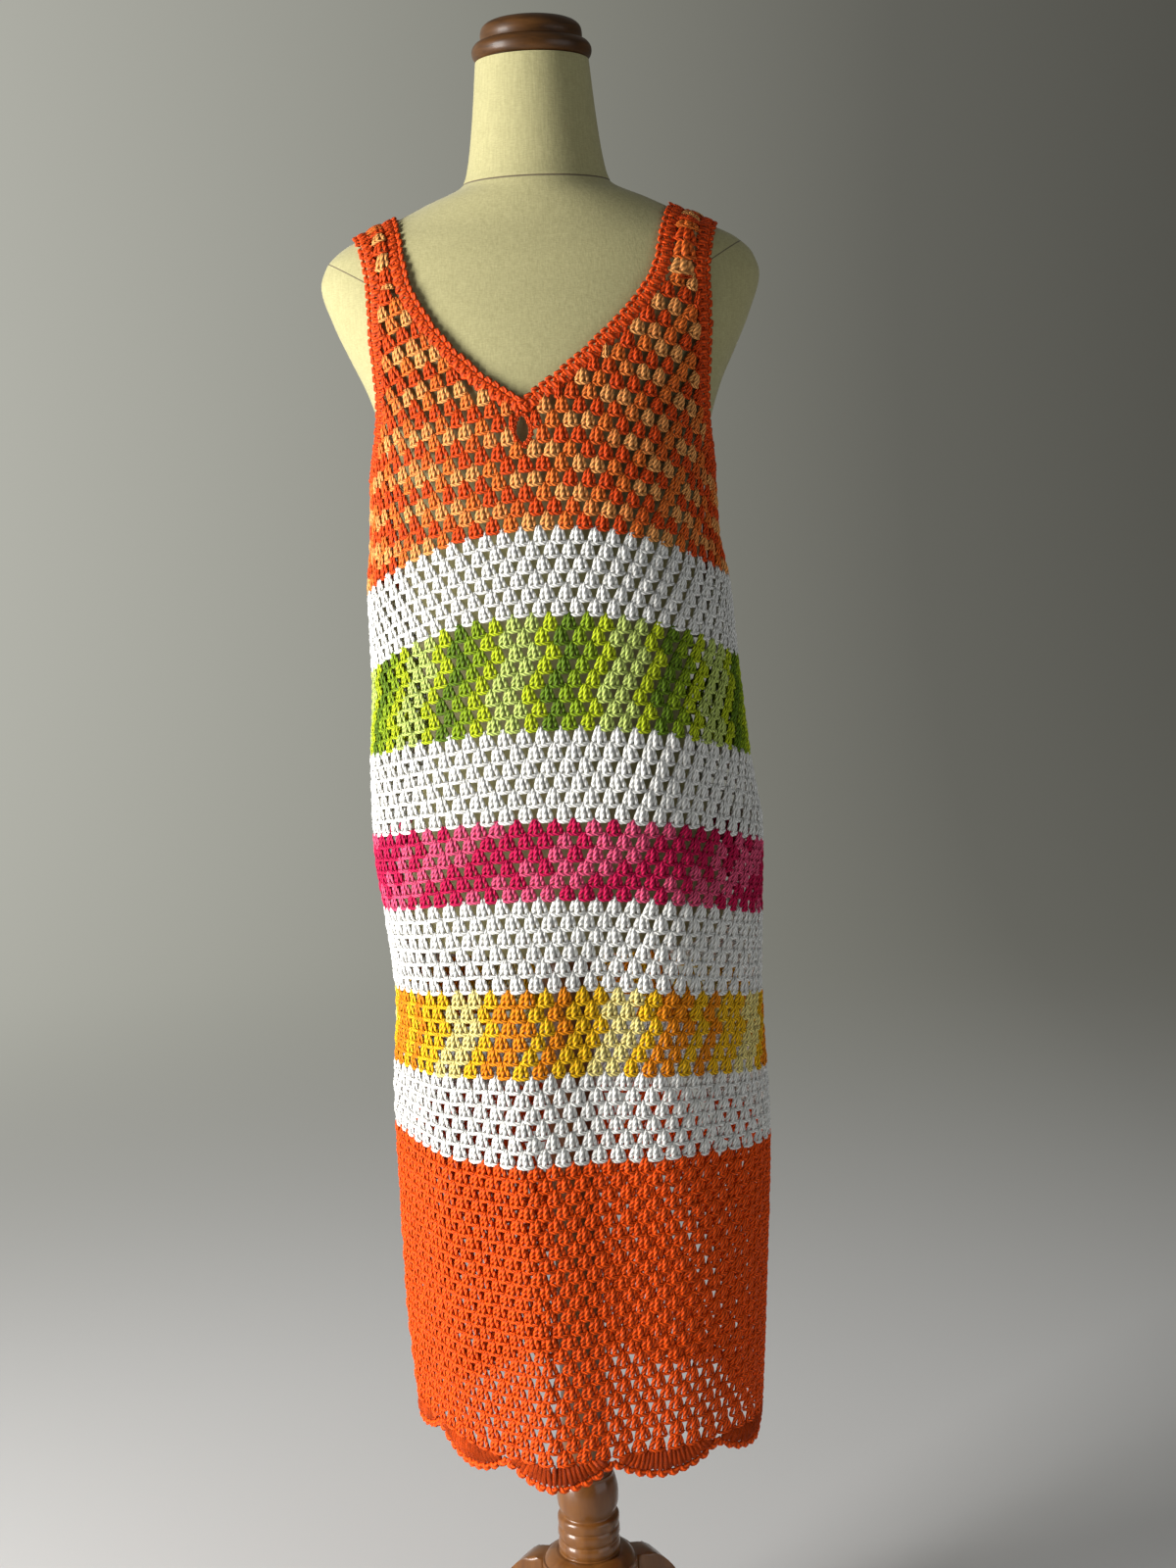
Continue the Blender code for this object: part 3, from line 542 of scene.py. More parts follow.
def set_inputs(node, values):
    """Give a node's inputs, by name or number, a value each or a link from a socket."""
    for key, value in dict(values).items():
        if isinstance(value, bpy.types.NodeSocket):
            node.id_data.links.new(value, node.inputs[key])
        else:
            node.inputs[key].default_value = value


def add_node(tree, kind, values=(), **settings):
    """Node with its settings and its inputs' values or links."""
    node = tree.nodes.new(kind)
    for key, value in settings.items():
        setattr(node, key, value)
    set_inputs(node, values)
    return node


def new_sockets(tree, way, sockets):
    """Named inputs or outputs of a node group, each with its kind."""
    for name, kind in sockets:
        tree.interface.new_socket(name, in_out=way, socket_type="NodeSocket" + kind)


def worked_out(tree, operation, *values):
    """Output of a math node over values or sockets."""
    return add_node(tree, "ShaderNodeMath", enumerate(values), operation=operation).outputs[0]


def mapped(tree, value, low, high, start=0.0, end=1.0, way="LINEAR"):
    """Value carried over from the range start to end to the range low to high."""
    values = {"Value": value, "From Min": start, "From Max": end, "To Min": low, "To Max": high}
    return add_node(tree, "ShaderNodeMapRange", values, interpolation_type=way).outputs["Result"]


def noise(tree, place, scale, detail, **values):
    """Noise over a place; a scale of three numbers stretches it."""
    if isinstance(scale, tuple):
        space = add_node(tree, "ShaderNodeMapping", {"Vector": place, "Scale": scale})
        place, scale = space.outputs["Vector"], 1.0
    values.update({"Vector": place, "Scale": scale, "Detail": detail})
    return add_node(tree, "ShaderNodeTexNoise", values).outputs["Fac"]


def ramp(tree, source, stops):
    """Colour from a ramp over a value: stops are (position, colour)."""
    node = add_node(tree, "ShaderNodeValToRGB", {"Fac": source})
    elements = node.color_ramp.elements
    while len(elements) < len(stops):
        elements.new(0.5)
    for element, (position, colour) in zip(elements, stops):
        element.position = position
        element.color = (*colour, 1.0)
    return node.outputs["Color"]


def raised(tree, height, strength, distance):
    """Normal of a surface with a height on it."""
    values = {"Height": height, "Strength": strength, "Distance": distance}
    return add_node(tree, "ShaderNodeBump", values).outputs["Normal"]


def object_place(tree):
    """Object coordinates, which stay on the piece wherever it goes."""
    return add_node(tree, "ShaderNodeTexCoord").outputs["Object"]


def yarn_group():
    """Plied cotton: the stitch's own tint, mottled, with painted shade in the ply grooves and painted
    light on the ply crests, and the plies and fibres as a normal.
    """
    tree = bpy.data.node_groups.new("plied yarn", "ShaderNodeTree")
    new_sockets(tree, "INPUT", (("Twist", "Float"), ("Groove Shade", "Float")))
    new_sockets(tree, "OUTPUT", (("Color", "Color"), ("Normal", "Vector")))
    given = add_node(tree, "NodeGroupInput").outputs
    tint = add_node(tree, "ShaderNodeAttribute", attribute_name="tint").outputs["Color"]
    strand_map = add_node(tree, "ShaderNodeUVMap", uv_map="strand").outputs["UV"]
    parts = add_node(tree, "ShaderNodeSeparateXYZ", {"Vector": strand_map}).outputs
    along = worked_out(tree, "MULTIPLY", parts["X"], 1.0 / PLY_TURN)
    turned_round = worked_out(tree, "MULTIPLY", parts["Y"], PLIES)
    phase = worked_out(tree, "ADD", along, turned_round)
    angle = worked_out(tree, "MULTIPLY", phase, 2.0 * math.pi)
    plies = worked_out(tree, "MULTIPLY_ADD", worked_out(tree, "SINE", angle), 0.5, 0.5)
    place = object_place(tree)
    fibre = noise(tree, place, FIBRE_SCALE, 2.0)
    height = worked_out(tree, "MULTIPLY_ADD", fibre, FIBRE_SHARE, plies)
    normal = raised(tree, height, given["Twist"], PLY_RELIEF)
    mottle = mapped(tree, noise(tree, place, MOTTLE_SCALE, 1.0), MOTTLE_DARK, MOTTLE_LIGHT)
    # Painted shade in the ply grooves and painted light on the ply crests
    groove = mapped(tree, plies, given["Groove Shade"], PLY_CREST_PAINTED_LIGHT)
    shade = worked_out(tree, "MULTIPLY", mottle, groove)
    colour = add_node(tree, "ShaderNodeVectorMath", operation="SCALE")
    set_inputs(colour, {0: tint, "Scale": shade})
    add_node(tree, "NodeGroupOutput", {"Color": colour.outputs["Vector"], "Normal": normal})
    return tree


def yarn_material(name, group, groove):
    """Cotton yarn on the shared group; the groove is how light the yarn stays between its plies under
    the painted shade there.
    """
    material, tree, shader = new_material(name)
    yarn = add_node(tree, "ShaderNodeGroup", {"Twist": YARN_TWIST, "Groove Shade": groove},
                    node_tree=group)
    set_inputs(shader, {"Base Color": yarn.outputs["Color"], "Normal": yarn.outputs["Normal"],
                        "Roughness": 0.60, "Specular IOR Level": 0.14})
    return material


def seam_mask(tree, place):
    """1 on the neck seam and on the seams of the arm plates, 0 elsewhere."""
    parts = add_node(tree, "ShaderNodeSeparateXYZ", {"Vector": place}).outputs
    neck = worked_out(tree, "COMPARE", parts["Z"], NECK_SEAM, NECK_SEAM_HALF)
    side = worked_out(tree, "ABSOLUTE", parts["X"])
    slope = worked_out(tree, "MULTIPLY_ADD", side, ARM_SEAM_SLOPE, parts["Z"])
    cut = worked_out(tree, "MULTIPLY_ADD", parts["X"], ARM_SEAM_LEAN, slope)
    arm = worked_out(tree, "COMPARE", cut, ARM_SEAM_CUT, ARM_SEAM_HALF)
    beyond = worked_out(tree, "GREATER_THAN", side, ARM_SEAM_START)
    plate = worked_out(tree, "MULTIPLY", arm, beyond)
    return worked_out(tree, "MAXIMUM", neck, plate)


def linen_material():
    """Natural linen cover: fine weave, upright slubs and the sewn seams as thin dark lines."""
    material, tree, shader = new_material("linen_cover")
    place = object_place(tree)
    weave = worked_out(tree, "ADD", noise(tree, place, SLUB_SCALE, 2.0),
                       noise(tree, place, WEFT_SCALE, 1.0))
    tone = ramp(tree, worked_out(tree, "MULTIPLY", weave, 0.5), LINEN_TONES)
    mix = add_node(tree, "ShaderNodeMix", data_type="RGBA")
    cover, seam = [number for number, socket in enumerate(mix.inputs) if socket.type == "RGBA"]
    set_inputs(mix, {"Factor": seam_mask(tree, place), cover: tone, seam: SEAM_COLOUR})
    colour = [socket for socket in mix.outputs if socket.type == "RGBA"][0]
    set_inputs(shader, {"Base Color": colour, "Normal": raised(tree, weave, 0.35, 0.0004),
                        "Roughness": 0.88, "Sheen Weight": 0.15})
    return material


def wood_material(name, dark, light, stretch, coat):
    """Varnished turned wood: long grain under a glossy coat."""
    material, tree, shader = new_material(name)
    grain = noise(tree, object_place(tree), stretch, 5.0, Roughness=0.6, Distortion=0.6)
    tone = ramp(tree, grain, ((0.32, dark), (0.68, light)))
    set_inputs(shader, {"Base Color": tone, "Normal": raised(tree, grain, 0.08, 0.0004),
                        "Roughness": 0.40, "Specular IOR Level": 0.28,
                        "Coat Weight": coat, "Coat Roughness": 0.14})
    return material


# Stitches, each a small mesh with pointed strands: X along the row, +Y outwards, Z up
def strand(work, uv_layer, path, radii, sides, flatness):
    """Closed strand along a path, pointed at both ends; its UV runs along it and round it."""
    path = np.array(path, float)
    ahead = np.gradient(path, axis=0)
    ahead /= np.linalg.norm(ahead, axis=1)[:, None]
    length = lengths_along(path)
    first, last = work.verts.new(path[0]), work.verts.new(path[-1])
    rings = []
    for point, way, radius in zip(path[1:-1], ahead[1:-1], radii):
        side = np.cross(way, (0.0, 1.0, 0.0))
        side /= np.linalg.norm(side)
        out = np.cross(side, way)
        turns = np.arange(sides) / sides * 2.0 * math.pi
        rings.append([work.verts.new(point + radius * (math.cos(t) * side
                                                       + flatness * math.sin(t) * out))
                      for t in turns])

    def face(corners, places):
        made = work.faces.new(corners)
        made.smooth = True
        for loop, place in zip(made.loops, places):
            loop[uv_layer].uv = place

    for i in range(sides):
        j = (i + 1) % sides
        a, b = i / sides, (i + 1) / sides
        face((first, rings[0][j], rings[0][i]), ((length[0], a), (length[1], b), (length[1], a)))
        for r in range(len(rings) - 1):
            low, high = length[r + 1], length[r + 2]
            face((rings[r][i], rings[r][j], rings[r + 1][j], rings[r + 1][i]),
                 ((low, a), (low, b), (high, b), (high, a)))
        face((rings[-1][i], rings[-1][j], last), ((length[-2], a), (length[-2], b), (length[-1], a)))


def stitch_object(name, strands, sides=5, flatness=1.0):
    """Mesh of one stitch from its strands' paths and radii, in metres."""
    work = bmesh.new()
    uv_layer = work.loops.layers.uv.new("strand")
    for path, radii in strands:
        strand(work, uv_layer, path, radii, sides, flatness)
    bmesh.ops.recalc_face_normals(work, faces=work.faces)
    data = bpy.data.meshes.new(name)
    work.to_mesh(data)
    work.free()
    thing = bpy.data.objects.new(name, data)
    bpy.context.scene.collection.objects.link(thing)
    thing.location = OUT_OF_SIGHT
    return thing


def cluster_stitch(name, fullness):
    """Three trebles worked into one gap: narrow at the top, nearly meeting their neighbours below."""
    top, shoulder = 0.0012 + 0.0006 * fullness, 0.0021 + 0.0012 * fullness
    waist, hip = 0.0031 + 0.0012 * fullness, 0.0042 + 0.0011 * fullness
    foot, end = 0.0050 + 0.0009 * fullness, 0.0052 + 0.0006 * fullness
    more = 0.0003 * fullness
    strands = []
    for way in (-1.0, 1.0):
        path = ((top * way, 0.0002, 0.0090), (shoulder * way, 0.0008, 0.0060),
                (waist * way, 0.0012, 0.0024), (hip * way, 0.0008, -0.0012),
                (foot * way, 0.0000, -0.0046), (end * way, -0.0008, -0.0070))
        strands.append((path, (0.0017 + more, 0.0021 + more, 0.0023 + more, 0.0021 + more)))
    middle = ((0.0, 0.0010, 0.0092), (0.0, 0.0018, 0.0054), (0.0, 0.0022, 0.0000),
              (0.0, 0.0014, -0.0048), (0.0, 0.0, -0.0074))
    strands.append((middle, (0.0018 + 2.0 * more, 0.0022 + more, 0.0023 + more)))
    heads = ((-0.0086, 0.0002, -0.0052), (-0.0060, 0.0012, -0.0058), (-0.0022, 0.0020, -0.0064),
             (0.0022, 0.0020, -0.0064), (0.0060, 0.0012, -0.0058), (0.0086, 0.0002, -0.0052))
    strands.append((heads, (0.0014, 0.0017, 0.0017, 0.0014)))
    return stitch_object(name, strands, flatness=0.62)


def edge_stitch():
    """One crossed shell of the braided edging; X along the edge, Z out over it."""
    shell = ((-0.0052, 0.0002, -0.0062), (-0.0030, 0.0012, -0.0040), (-0.0004, 0.0020, -0.0010),
             (0.0016, 0.0017, 0.0018), (0.0024, 0.0008, 0.0044))
    loop = ((0.0044, 0.0002, -0.0060), (0.0024, 0.0010, -0.0038), (-0.0006, 0.0014, -0.0008),
            (-0.0030, 0.0014, 0.0020), (-0.0040, 0.0004, 0.0040))
    rim = ((-0.0040, 0.0000, 0.0036), (-0.0018, 0.0012, 0.0050), (0.0012, 0.0014, 0.0050),
           (0.0042, 0.0000, 0.0034))
    return stitch_object("edge_stitch", [(shell, (0.0019, 0.0025, 0.0023)),
                                         (loop, (0.0019, 0.0024, 0.0020)),
                                         (rim, (0.0019, 0.0021))], flatness=0.58)


def bump_stitch():
    """Round scallop loop of the hem; X along the edge, Z up."""
    turns = np.linspace(math.pi * 0.98, math.pi * 2.02, 7)
    path = [(0.0034 * math.cos(t), 0.0004, 0.0022 + 0.0042 * math.sin(t)) for t in turns]
    return stitch_object("bump_stitch", [(path, (0.0024, 0.0030, 0.0033, 0.0030, 0.0024))],
                         flatness=0.65)


def spoke_stitch():
    """One spoke of the hem's fan, of unit height."""
    path = ((0.0, 0.0, 0.56), (0.0, 0.0008, 0.34), (0.0, 0.0016, 0.0),
            (0.0, 0.0010, -0.34), (0.0, 0.0, -0.56))
    return stitch_object("spoke_stitch", [(path, (0.0024, 0.0032, 0.0034))], flatness=0.65)


# Placing stitches
def random_vector(tree, least, most, seed):
    """Random vector for each point, between two values on every axis."""
    return add_node(tree, "FunctionNodeRandomValue", {"Min": least, "Max": most, "Seed": seed},
                    data_type="FLOAT_VECTOR").outputs["Value"]


def stitch_tree():
    """Geometry nodes that put one stitch on every point, turned, sized and tinted by it."""
    tree = bpy.data.node_groups.new("place stitches", "GeometryNodeTree")
    new_sockets(tree, "INPUT", (("Geometry", "Geometry"), ("Stitch", "Object"),
                                ("Material", "Material"), ("Tilt", "Float"),
                                ("Spread", "Float"), ("Seed", "Int")))
    new_sockets(tree, "OUTPUT", (("Geometry", "Geometry"),))
    given = add_node(tree, "NodeGroupInput").outputs
    tilt, spread, seed = given["Tilt"], given["Spread"], given["Seed"]
    stitch = add_node(tree, "GeometryNodeObjectInfo", {"Object": given["Stitch"]},
                      transform_space="ORIGINAL")
    up, out, size = (add_node(tree, "GeometryNodeInputNamedAttribute", {"Name": name},
                              data_type="FLOAT_VECTOR").outputs["Attribute"]
                     for name in ("up", "out", "size"))
    facing = add_node(tree, "FunctionNodeAxesToRotation",
                      {"Primary Axis": up, "Secondary Axis": out},
                      primary_axis="Z", secondary_axis="Y")
    lean = random_vector(tree, worked_out(tree, "MULTIPLY", tilt, -1.0), tilt, seed)
    lean_turn = add_node(tree, "FunctionNodeEulerToRotation", {"Euler": lean})
    turn = add_node(tree, "FunctionNodeRotateRotation",
                    {"Rotation": facing.outputs["Rotation"],
                     "Rotate By": lean_turn.outputs["Rotation"]}, rotation_space="LOCAL")
    swell = random_vector(tree, worked_out(tree, "SUBTRACT", 1.0, spread),
                          worked_out(tree, "ADD", 1.0, spread), seed)
    scale = add_node(tree, "ShaderNodeVectorMath", {0: size, 1: swell}, operation="MULTIPLY")
    place = add_node(tree, "GeometryNodeInstanceOnPoints",
                     {"Points": given["Geometry"], "Instance": stitch.outputs["Geometry"],
                      "Rotation": turn.outputs["Rotation"], "Scale": scale.outputs["Vector"]})
    solid = add_node(tree, "GeometryNodeRealizeInstances",
                     {"Geometry": place.outputs["Instances"]})
    dyed = add_node(tree, "GeometryNodeSetMaterial",
                    {"Geometry": solid.outputs["Geometry"], "Material": given["Material"]})
    add_node(tree, "NodeGroupOutput", {"Geometry": dyed.outputs["Geometry"]})
    return tree


def placed(name, spots, stitch, tree, material, seed):
    """Plain mesh of stitches; a spot is (place, up, out, size, tint) in post-axis coordinates."""
    data = bpy.data.meshes.new(name + "_spots")
    data.from_pydata([tuple(np.asarray(spot[0]) + AXIS) for spot in spots], [], [])
    for label, column in (("up", 1), ("out", 2), ("size", 3)):
        values = np.array([spot[column] for spot in spots], float)
        layer = data.attributes.new(label, "FLOAT_VECTOR", "POINT")
        layer.data.foreach_set("vector", values.ravel())
    tints = np.array([(*spot[4], 1.0) for spot in spots], float)
    layer = data.attributes.new("tint", "FLOAT_COLOR", "POINT")
    layer.data.foreach_set("color", tints.ravel())
    guide = bpy.data.objects.new(name + "_guide", data)
    bpy.context.scene.collection.objects.link(guide)
    modifier = guide.modifiers.new("stitches", "NODES")
    modifier.node_group = tree
    values = {"Stitch": stitch, "Material": material, "Tilt": STITCH_TILT,
              "Spread": STITCH_SPREAD, "Seed": seed}
    for socket in tree.interface.items_tree:
        if socket.in_out == "INPUT" and socket.name in values:
            modifier[socket.identifier] = values[socket.name]
    graph = bpy.context.evaluated_depsgraph_get()
    made = bpy.data.meshes.new_from_object(guide.evaluated_get(graph),
                                           preserve_all_data_layers=True, depsgraph=graph)
    bpy.data.objects.remove(guide, do_unlink=True)
    for label in ("up", "out", "size"):
        if label in made.attributes:
            made.attributes.remove(made.attributes[label])
    made.name = name
    return made


def joined(name, meshes):
    """One object from several plain meshes."""
    things = []
    for mesh in meshes:
        thing = bpy.data.objects.new(name, mesh)
        bpy.context.scene.collection.objects.link(thing)
        things.append(thing)
    if len(things) > 1:
        with bpy.context.temp_override(active_object=things[0], object=things[0],
                                       selected_objects=things,
                                       selected_editable_objects=things):
            bpy.ops.object.join()
    return things[0]


def dye_colour(dye, row, place):
    """Tint of the cluster at a place along a row; the dye changes softly from run to run."""
    colours, drift = DYES[dye]
    step = place + row * drift + DYE_STRAY * math.sin(DYE_STRAY_TURN * row)
    run = int(math.floor(step))
    change = max(0.0, (step - run - DYE_CHANGE_START) / DYE_CHANGE_LENGTH)
    here, ahead = colours[run % len(colours)], colours[(run + 1) % len(colours)]
    return tuple(a + (b - a) * change for a, b in zip(here, ahead))


def unit(vectors):
    """Vectors of length one."""
    return vectors / np.linalg.norm(vectors, axis=-1, keepdims=True)


def surface_spots(point_at, s, t, width, height, tints):
    """Spots on a surface point_at(s, t): s runs along the row, t upwards; sizes are in metres."""
    step = 0.002
    along = unit(point_at(s + step, t) - point_at(s - step, t))
    rise = unit(point_at(s, t + step) - point_at(s, t - step))
    out = unit(np.cross(along, rise))
    up = unit(np.cross(out, along) + rise)
    width, height = np.broadcast_to(width, len(s)), np.broadcast_to(height, len(s))
    sizes = np.stack([width / CLUSTER_WIDTH, np.ones(len(s)), height / ROW_HEIGHT], axis=1)
    places = point_at(s, t) + CLOTH_MIDDLE * out
    return list(zip(places, up, out, sizes, tints))


def band_spots(index, rows, dye, first_row):
    """Spots of all clusters of one band."""
    above, below = BAND_LINES[index - 1], BAND_LINES[index]
    above_share, above_turns, above_girth = ring_table(above)
    below_share, below_turns, below_girth = ring_table(below)

    def point_at(s, t):
        s = s % 1.0
        turn = ((1.0 - t) * np.interp(s, below_share, below_turns)
                + t * np.interp(s, above_share, above_turns))
        low, high = line_height(below, turn), line_height(above, turn)
        return cloth_point(turn, low + (high - low) * t)

    spots = []
    for row in range(rows):
        t = 1.0 - (row + 0.5) / rows
        width = (below_girth + (above_girth - below_girth) * t) / CLUSTERS
        places = np.arange(CLUSTERS) + 0.5 * ((first_row + row) % 2)
        s = places / CLUSTERS
        height = np.linalg.norm(point_at(s, 1.0) - point_at(s, 0.0), axis=1) / rows
        tints = [dye_colour(dye, row, place) for place in places]
        spots += surface_spots(point_at, s, t, width, height, tints)
    return spots


# Bodice
def clipped(s, width, low, high):
    """Middle and width of what is left of a cluster between two limits, or None if too little."""
    start, end = max(s - 0.5 * width, low), min(s + 0.5 * width, high)
    if end - start < LEAST_CLUSTER * width:
        return None
    return 0.5 * (start + end), end - start


def panel_limits(face):
    """Neck line of a panel as a table: heights, and the turns of its left and right edge."""
    back = face == "back"
    rows = BACK_NECK if back else FRONT_NECK
    heights = np.array([row[0] for row in rows])
    sides = []
    for column in (1, 2):
        turns = [turn_at_x(row[column], row[0], back) for row in rows]
        sides.append(np.array(turns) - (math.pi if back else 0.0))
    return heights, sides


def bodice_rows(face):
    """Spots of the clusters of one panel below the straps."""
    back = face == "back"
    middle, side_seam = 0.0 if back else 0.5, 0.25
    neck_heights, neck_turns = panel_limits(face)
    arm = np.array(ARMHOLE)
    _, left, front, right, behind = BAND_LINES[0]
    spots = []
    for row in range(BODICE_ROWS):
        rise = (row + 0.5) * ROW_HEIGHT
        line = ("row", left + rise, front + rise, right + rise, behind + rise)
        share, turns, girth = ring_table(line)

        def point_at(s, t):
            turn = np.interp(s % 1.0, share, turns)
            return cloth_point(turn, line_height(line, turn) + t * ROW_HEIGHT)

        def away_at(turn):
            turn = (turn + math.pi) % (2.0 * math.pi) - math.pi
            return (np.interp(turn, turns, share) - middle + 0.5) % 1.0 - 0.5

        width, overlap = 1.0 / CLUSTERS, EDGE_OVERLAP / girth
        shift = 0.5 * ((row + 1) % 2)
        kept = []
        for column in range(-CLUSTERS // 4 - 1, CLUSTERS // 4 + 2):
            away = (column + shift) * width
            height = float(line_height(line, np.interp((middle + away) % 1.0, share, turns)))
            if height > SHOULDER_START:
                continue
            side = 0 if (away < 0) != back else 1
            sign = -1.0 if side == 0 else 1.0
            inner, outer = -1.0, side_seam
            if height > arm[0, 0]:
                angle = math.radians(np.interp(height, arm[:, 0], arm[:, side + 1]))
                outer = abs(away_at(sign * (math.pi - angle if back else angle))) + overlap
            if height > neck_heights[0]:
                edge = np.interp(height, neck_heights, neck_turns[side])
                inner = away_at(edge + math.pi if back else edge) * (1.0 if away >= 0 else -1.0)
                inner -= overlap
            found = clipped(abs(away), width, inner, outer)
            if found is not None:
                kept.append((math.copysign(found[0], away), found[1], column + shift))
        if not kept:
            continue
        aways, widths, places = (np.array(column) for column in zip(*kept))
        tints = [dye_colour("bodice", row, place + BODICE_DYE_START) for place in places]
        spots += surface_spots(point_at, middle + aways, 0.0, widths * girth, ROW_HEIGHT, tints)
    return spots


def strap_spots(side, face, rows):
    """Spots of the single column of clusters up one strap; rows are the panel half's points."""
    back = face == "back"
    start = rows[2 + len(PANEL_HEIGHTS[face])]
    inner, outer = start[0][0], start[-1][0]
    middle, reach = np.array([0.5]), 0.05
    spots = []
    for row in range(STRAP_ROWS):
        share = (row + 0.5) / STRAP_ROWS
        low, high = sorted((inner + (STRAP_TOP[side][0] - inner) * share,
                            outer + (STRAP_TOP[side][1] - outer) * share), reverse=back)

        def point_at(s, t):
            s, t = np.broadcast_arrays(s, t)
            return np.array([strap_point(low + (high - low) * a, min(max(b, 0.001), 0.999), back)
                             for a, b in zip(s.ravel(), t.ravel())])

        span = point_at(middle, share + reach) - point_at(middle, share - reach)
        height = np.linalg.norm(span) / (2.0 * reach) / STRAP_ROWS
        tints = [dye_colour("bodice", row + STRAP_DYE_ROW, STRAP_DYE_START[side] + row * 0.5)]
        spots += surface_spots(point_at, middle, share, abs(high - low), height, tints)
    return spots


def panel_halves(face):
    """Both halves of a bodice panel as rows of points, as the part lays them out."""
    turns = ring_turns(BAND_LINES[0], RING_STEPS)
    quarter = RING_STEPS // 4
    middle = 0 if face == "back" else 2 * quarter
    halves = {}
    for side, way in (("left", -1), ("right", 1)):
        if face == "back":
            way = -way
        picks = [(middle + way * i) % RING_STEPS for i in range(quarter + 1)]
        seam_turns = turns[picks].copy()
        if face == "back":
            seam_turns = seam_turns % (2.0 * math.pi)
        halves[side] = panel_half(side, face, seam_turns)
    return halves


def panel_area(halves):
    """Flat area of a panel: its two halves' cells added up."""
    total = 0.0
    for grid in halves.values():
        across, rise = np.diff(grid[:-1], axis=1), np.diff(grid[:, :-1], axis=0)
        total += float(np.linalg.norm(np.cross(across, rise), axis=2).sum())
    return total


# Edgings
def closed(line):
    """A line with its first point once more at its end."""
    return np.vstack([line, line[:1]])


def read_round(line, count, *columns):
    """Each column's values at a count of evenly spread places round a closed line."""
    length = lengths_along(closed(line))
    places = np.arange(count) / count * length[-1]
    return [np.stack([np.interp(places, length, closed(column)[:, axis]) for axis in range(3)],
                     axis=1) for column in columns]


def edging_spots(points, ways, tint):
    """Spots of the braided stitches along a closed edge; ways point out over the edge."""
    apart = np.linalg.norm(np.roll(points, -1, axis=0) - points, axis=1)
    path, outwards = points[apart > 0.001], ways[apart > 0.001]
    ahead = unit(np.roll(path, -1, axis=0) - np.roll(path, 1, axis=0))
    across = unit(outwards - np.sum(outwards * ahead, axis=1)[:, None] * ahead)
    outer = np.cross(ahead, across)
    over = SHOULDER_LIFT * smooth_step((path[:, 2:] - SHOULDER_EDGE) / SHOULDER_EASE)
    line = path + EDGING_MIDDLE * across + (EDGING_STAND + over) * outer
    line = 0.5 * line + 0.25 * (np.roll(line, 1, axis=0) + np.roll(line, -1, axis=0))
    count = int(round(lengths_along(closed(line))[-1] / EDGE_STITCH))
    middles, ups, outs = read_round(line, count, line, across, outer)
    return [(middle, unit(up), unit(out), EDGE_STITCH_SIZE, tint)
            for middle, up, out in zip(middles, ups, outs)]


def neck_path(front, back):
    """Closed path round the neck: over the V, both shoulders and the scoop of the back."""
    first_front = 3 + PANEL_HEIGHTS["front"].index(1.284)
    first_back = 3 + PANEL_HEIGHTS["back"].index(1.330)
    points, ways = [], []
    for half, face, first, upwards in (("right", front, first_front, True),
                                       ("right", back, first_back, False),
                                       ("left", back, first_back, True),
                                       ("left", front, first_front, False)):
        line, way = edge_rows(face[half], first, True)
        order = slice(None) if upwards else slice(None, None, -1)
        points.append(line[order])
        ways.append(way[order])
    points[2], ways[2] = points[2][1:], ways[2][1:]
    return np.vstack(points), np.vstack(ways)


def armhole_path(side, front, back):
    """Closed path round one armhole, from the underarm up the front, over and down the back."""
    front_line, front_way = edge_rows(front[side], 3, False)
    back_line, back_way = edge_rows(back[side], 3, False)
    points = np.vstack([front_line, back_line[::-1]])
    ways = np.vstack([front_way, back_way[::-1]])
    if side == "right":
        points, ways = points[::-1], ways[::-1]
    return points, ways


def keyhole_spots():
    """Small stitches round the keyhole in the front panel."""
    table = np.array(FRONT_NECK)[:5]
    outline = [(h, x) for h, x, _ in table] + [(h, x) for h, _, x in table[::-1]]
    points = np.array([cloth_point(turn_at_x(x, h), h) for h, x in outline])
    rim = read_round(points, KEYHOLE_STITCHES, points)[0]
    middle = rim.mean(axis=0)
    out = unit(np.array(KEYHOLE_FACING))
    return [(point + CLOTH_MIDDLE * out, unit(middle - point), out, KEYHOLE_STITCH_SIZE,
             DEEP_ORANGE) for point in rim]


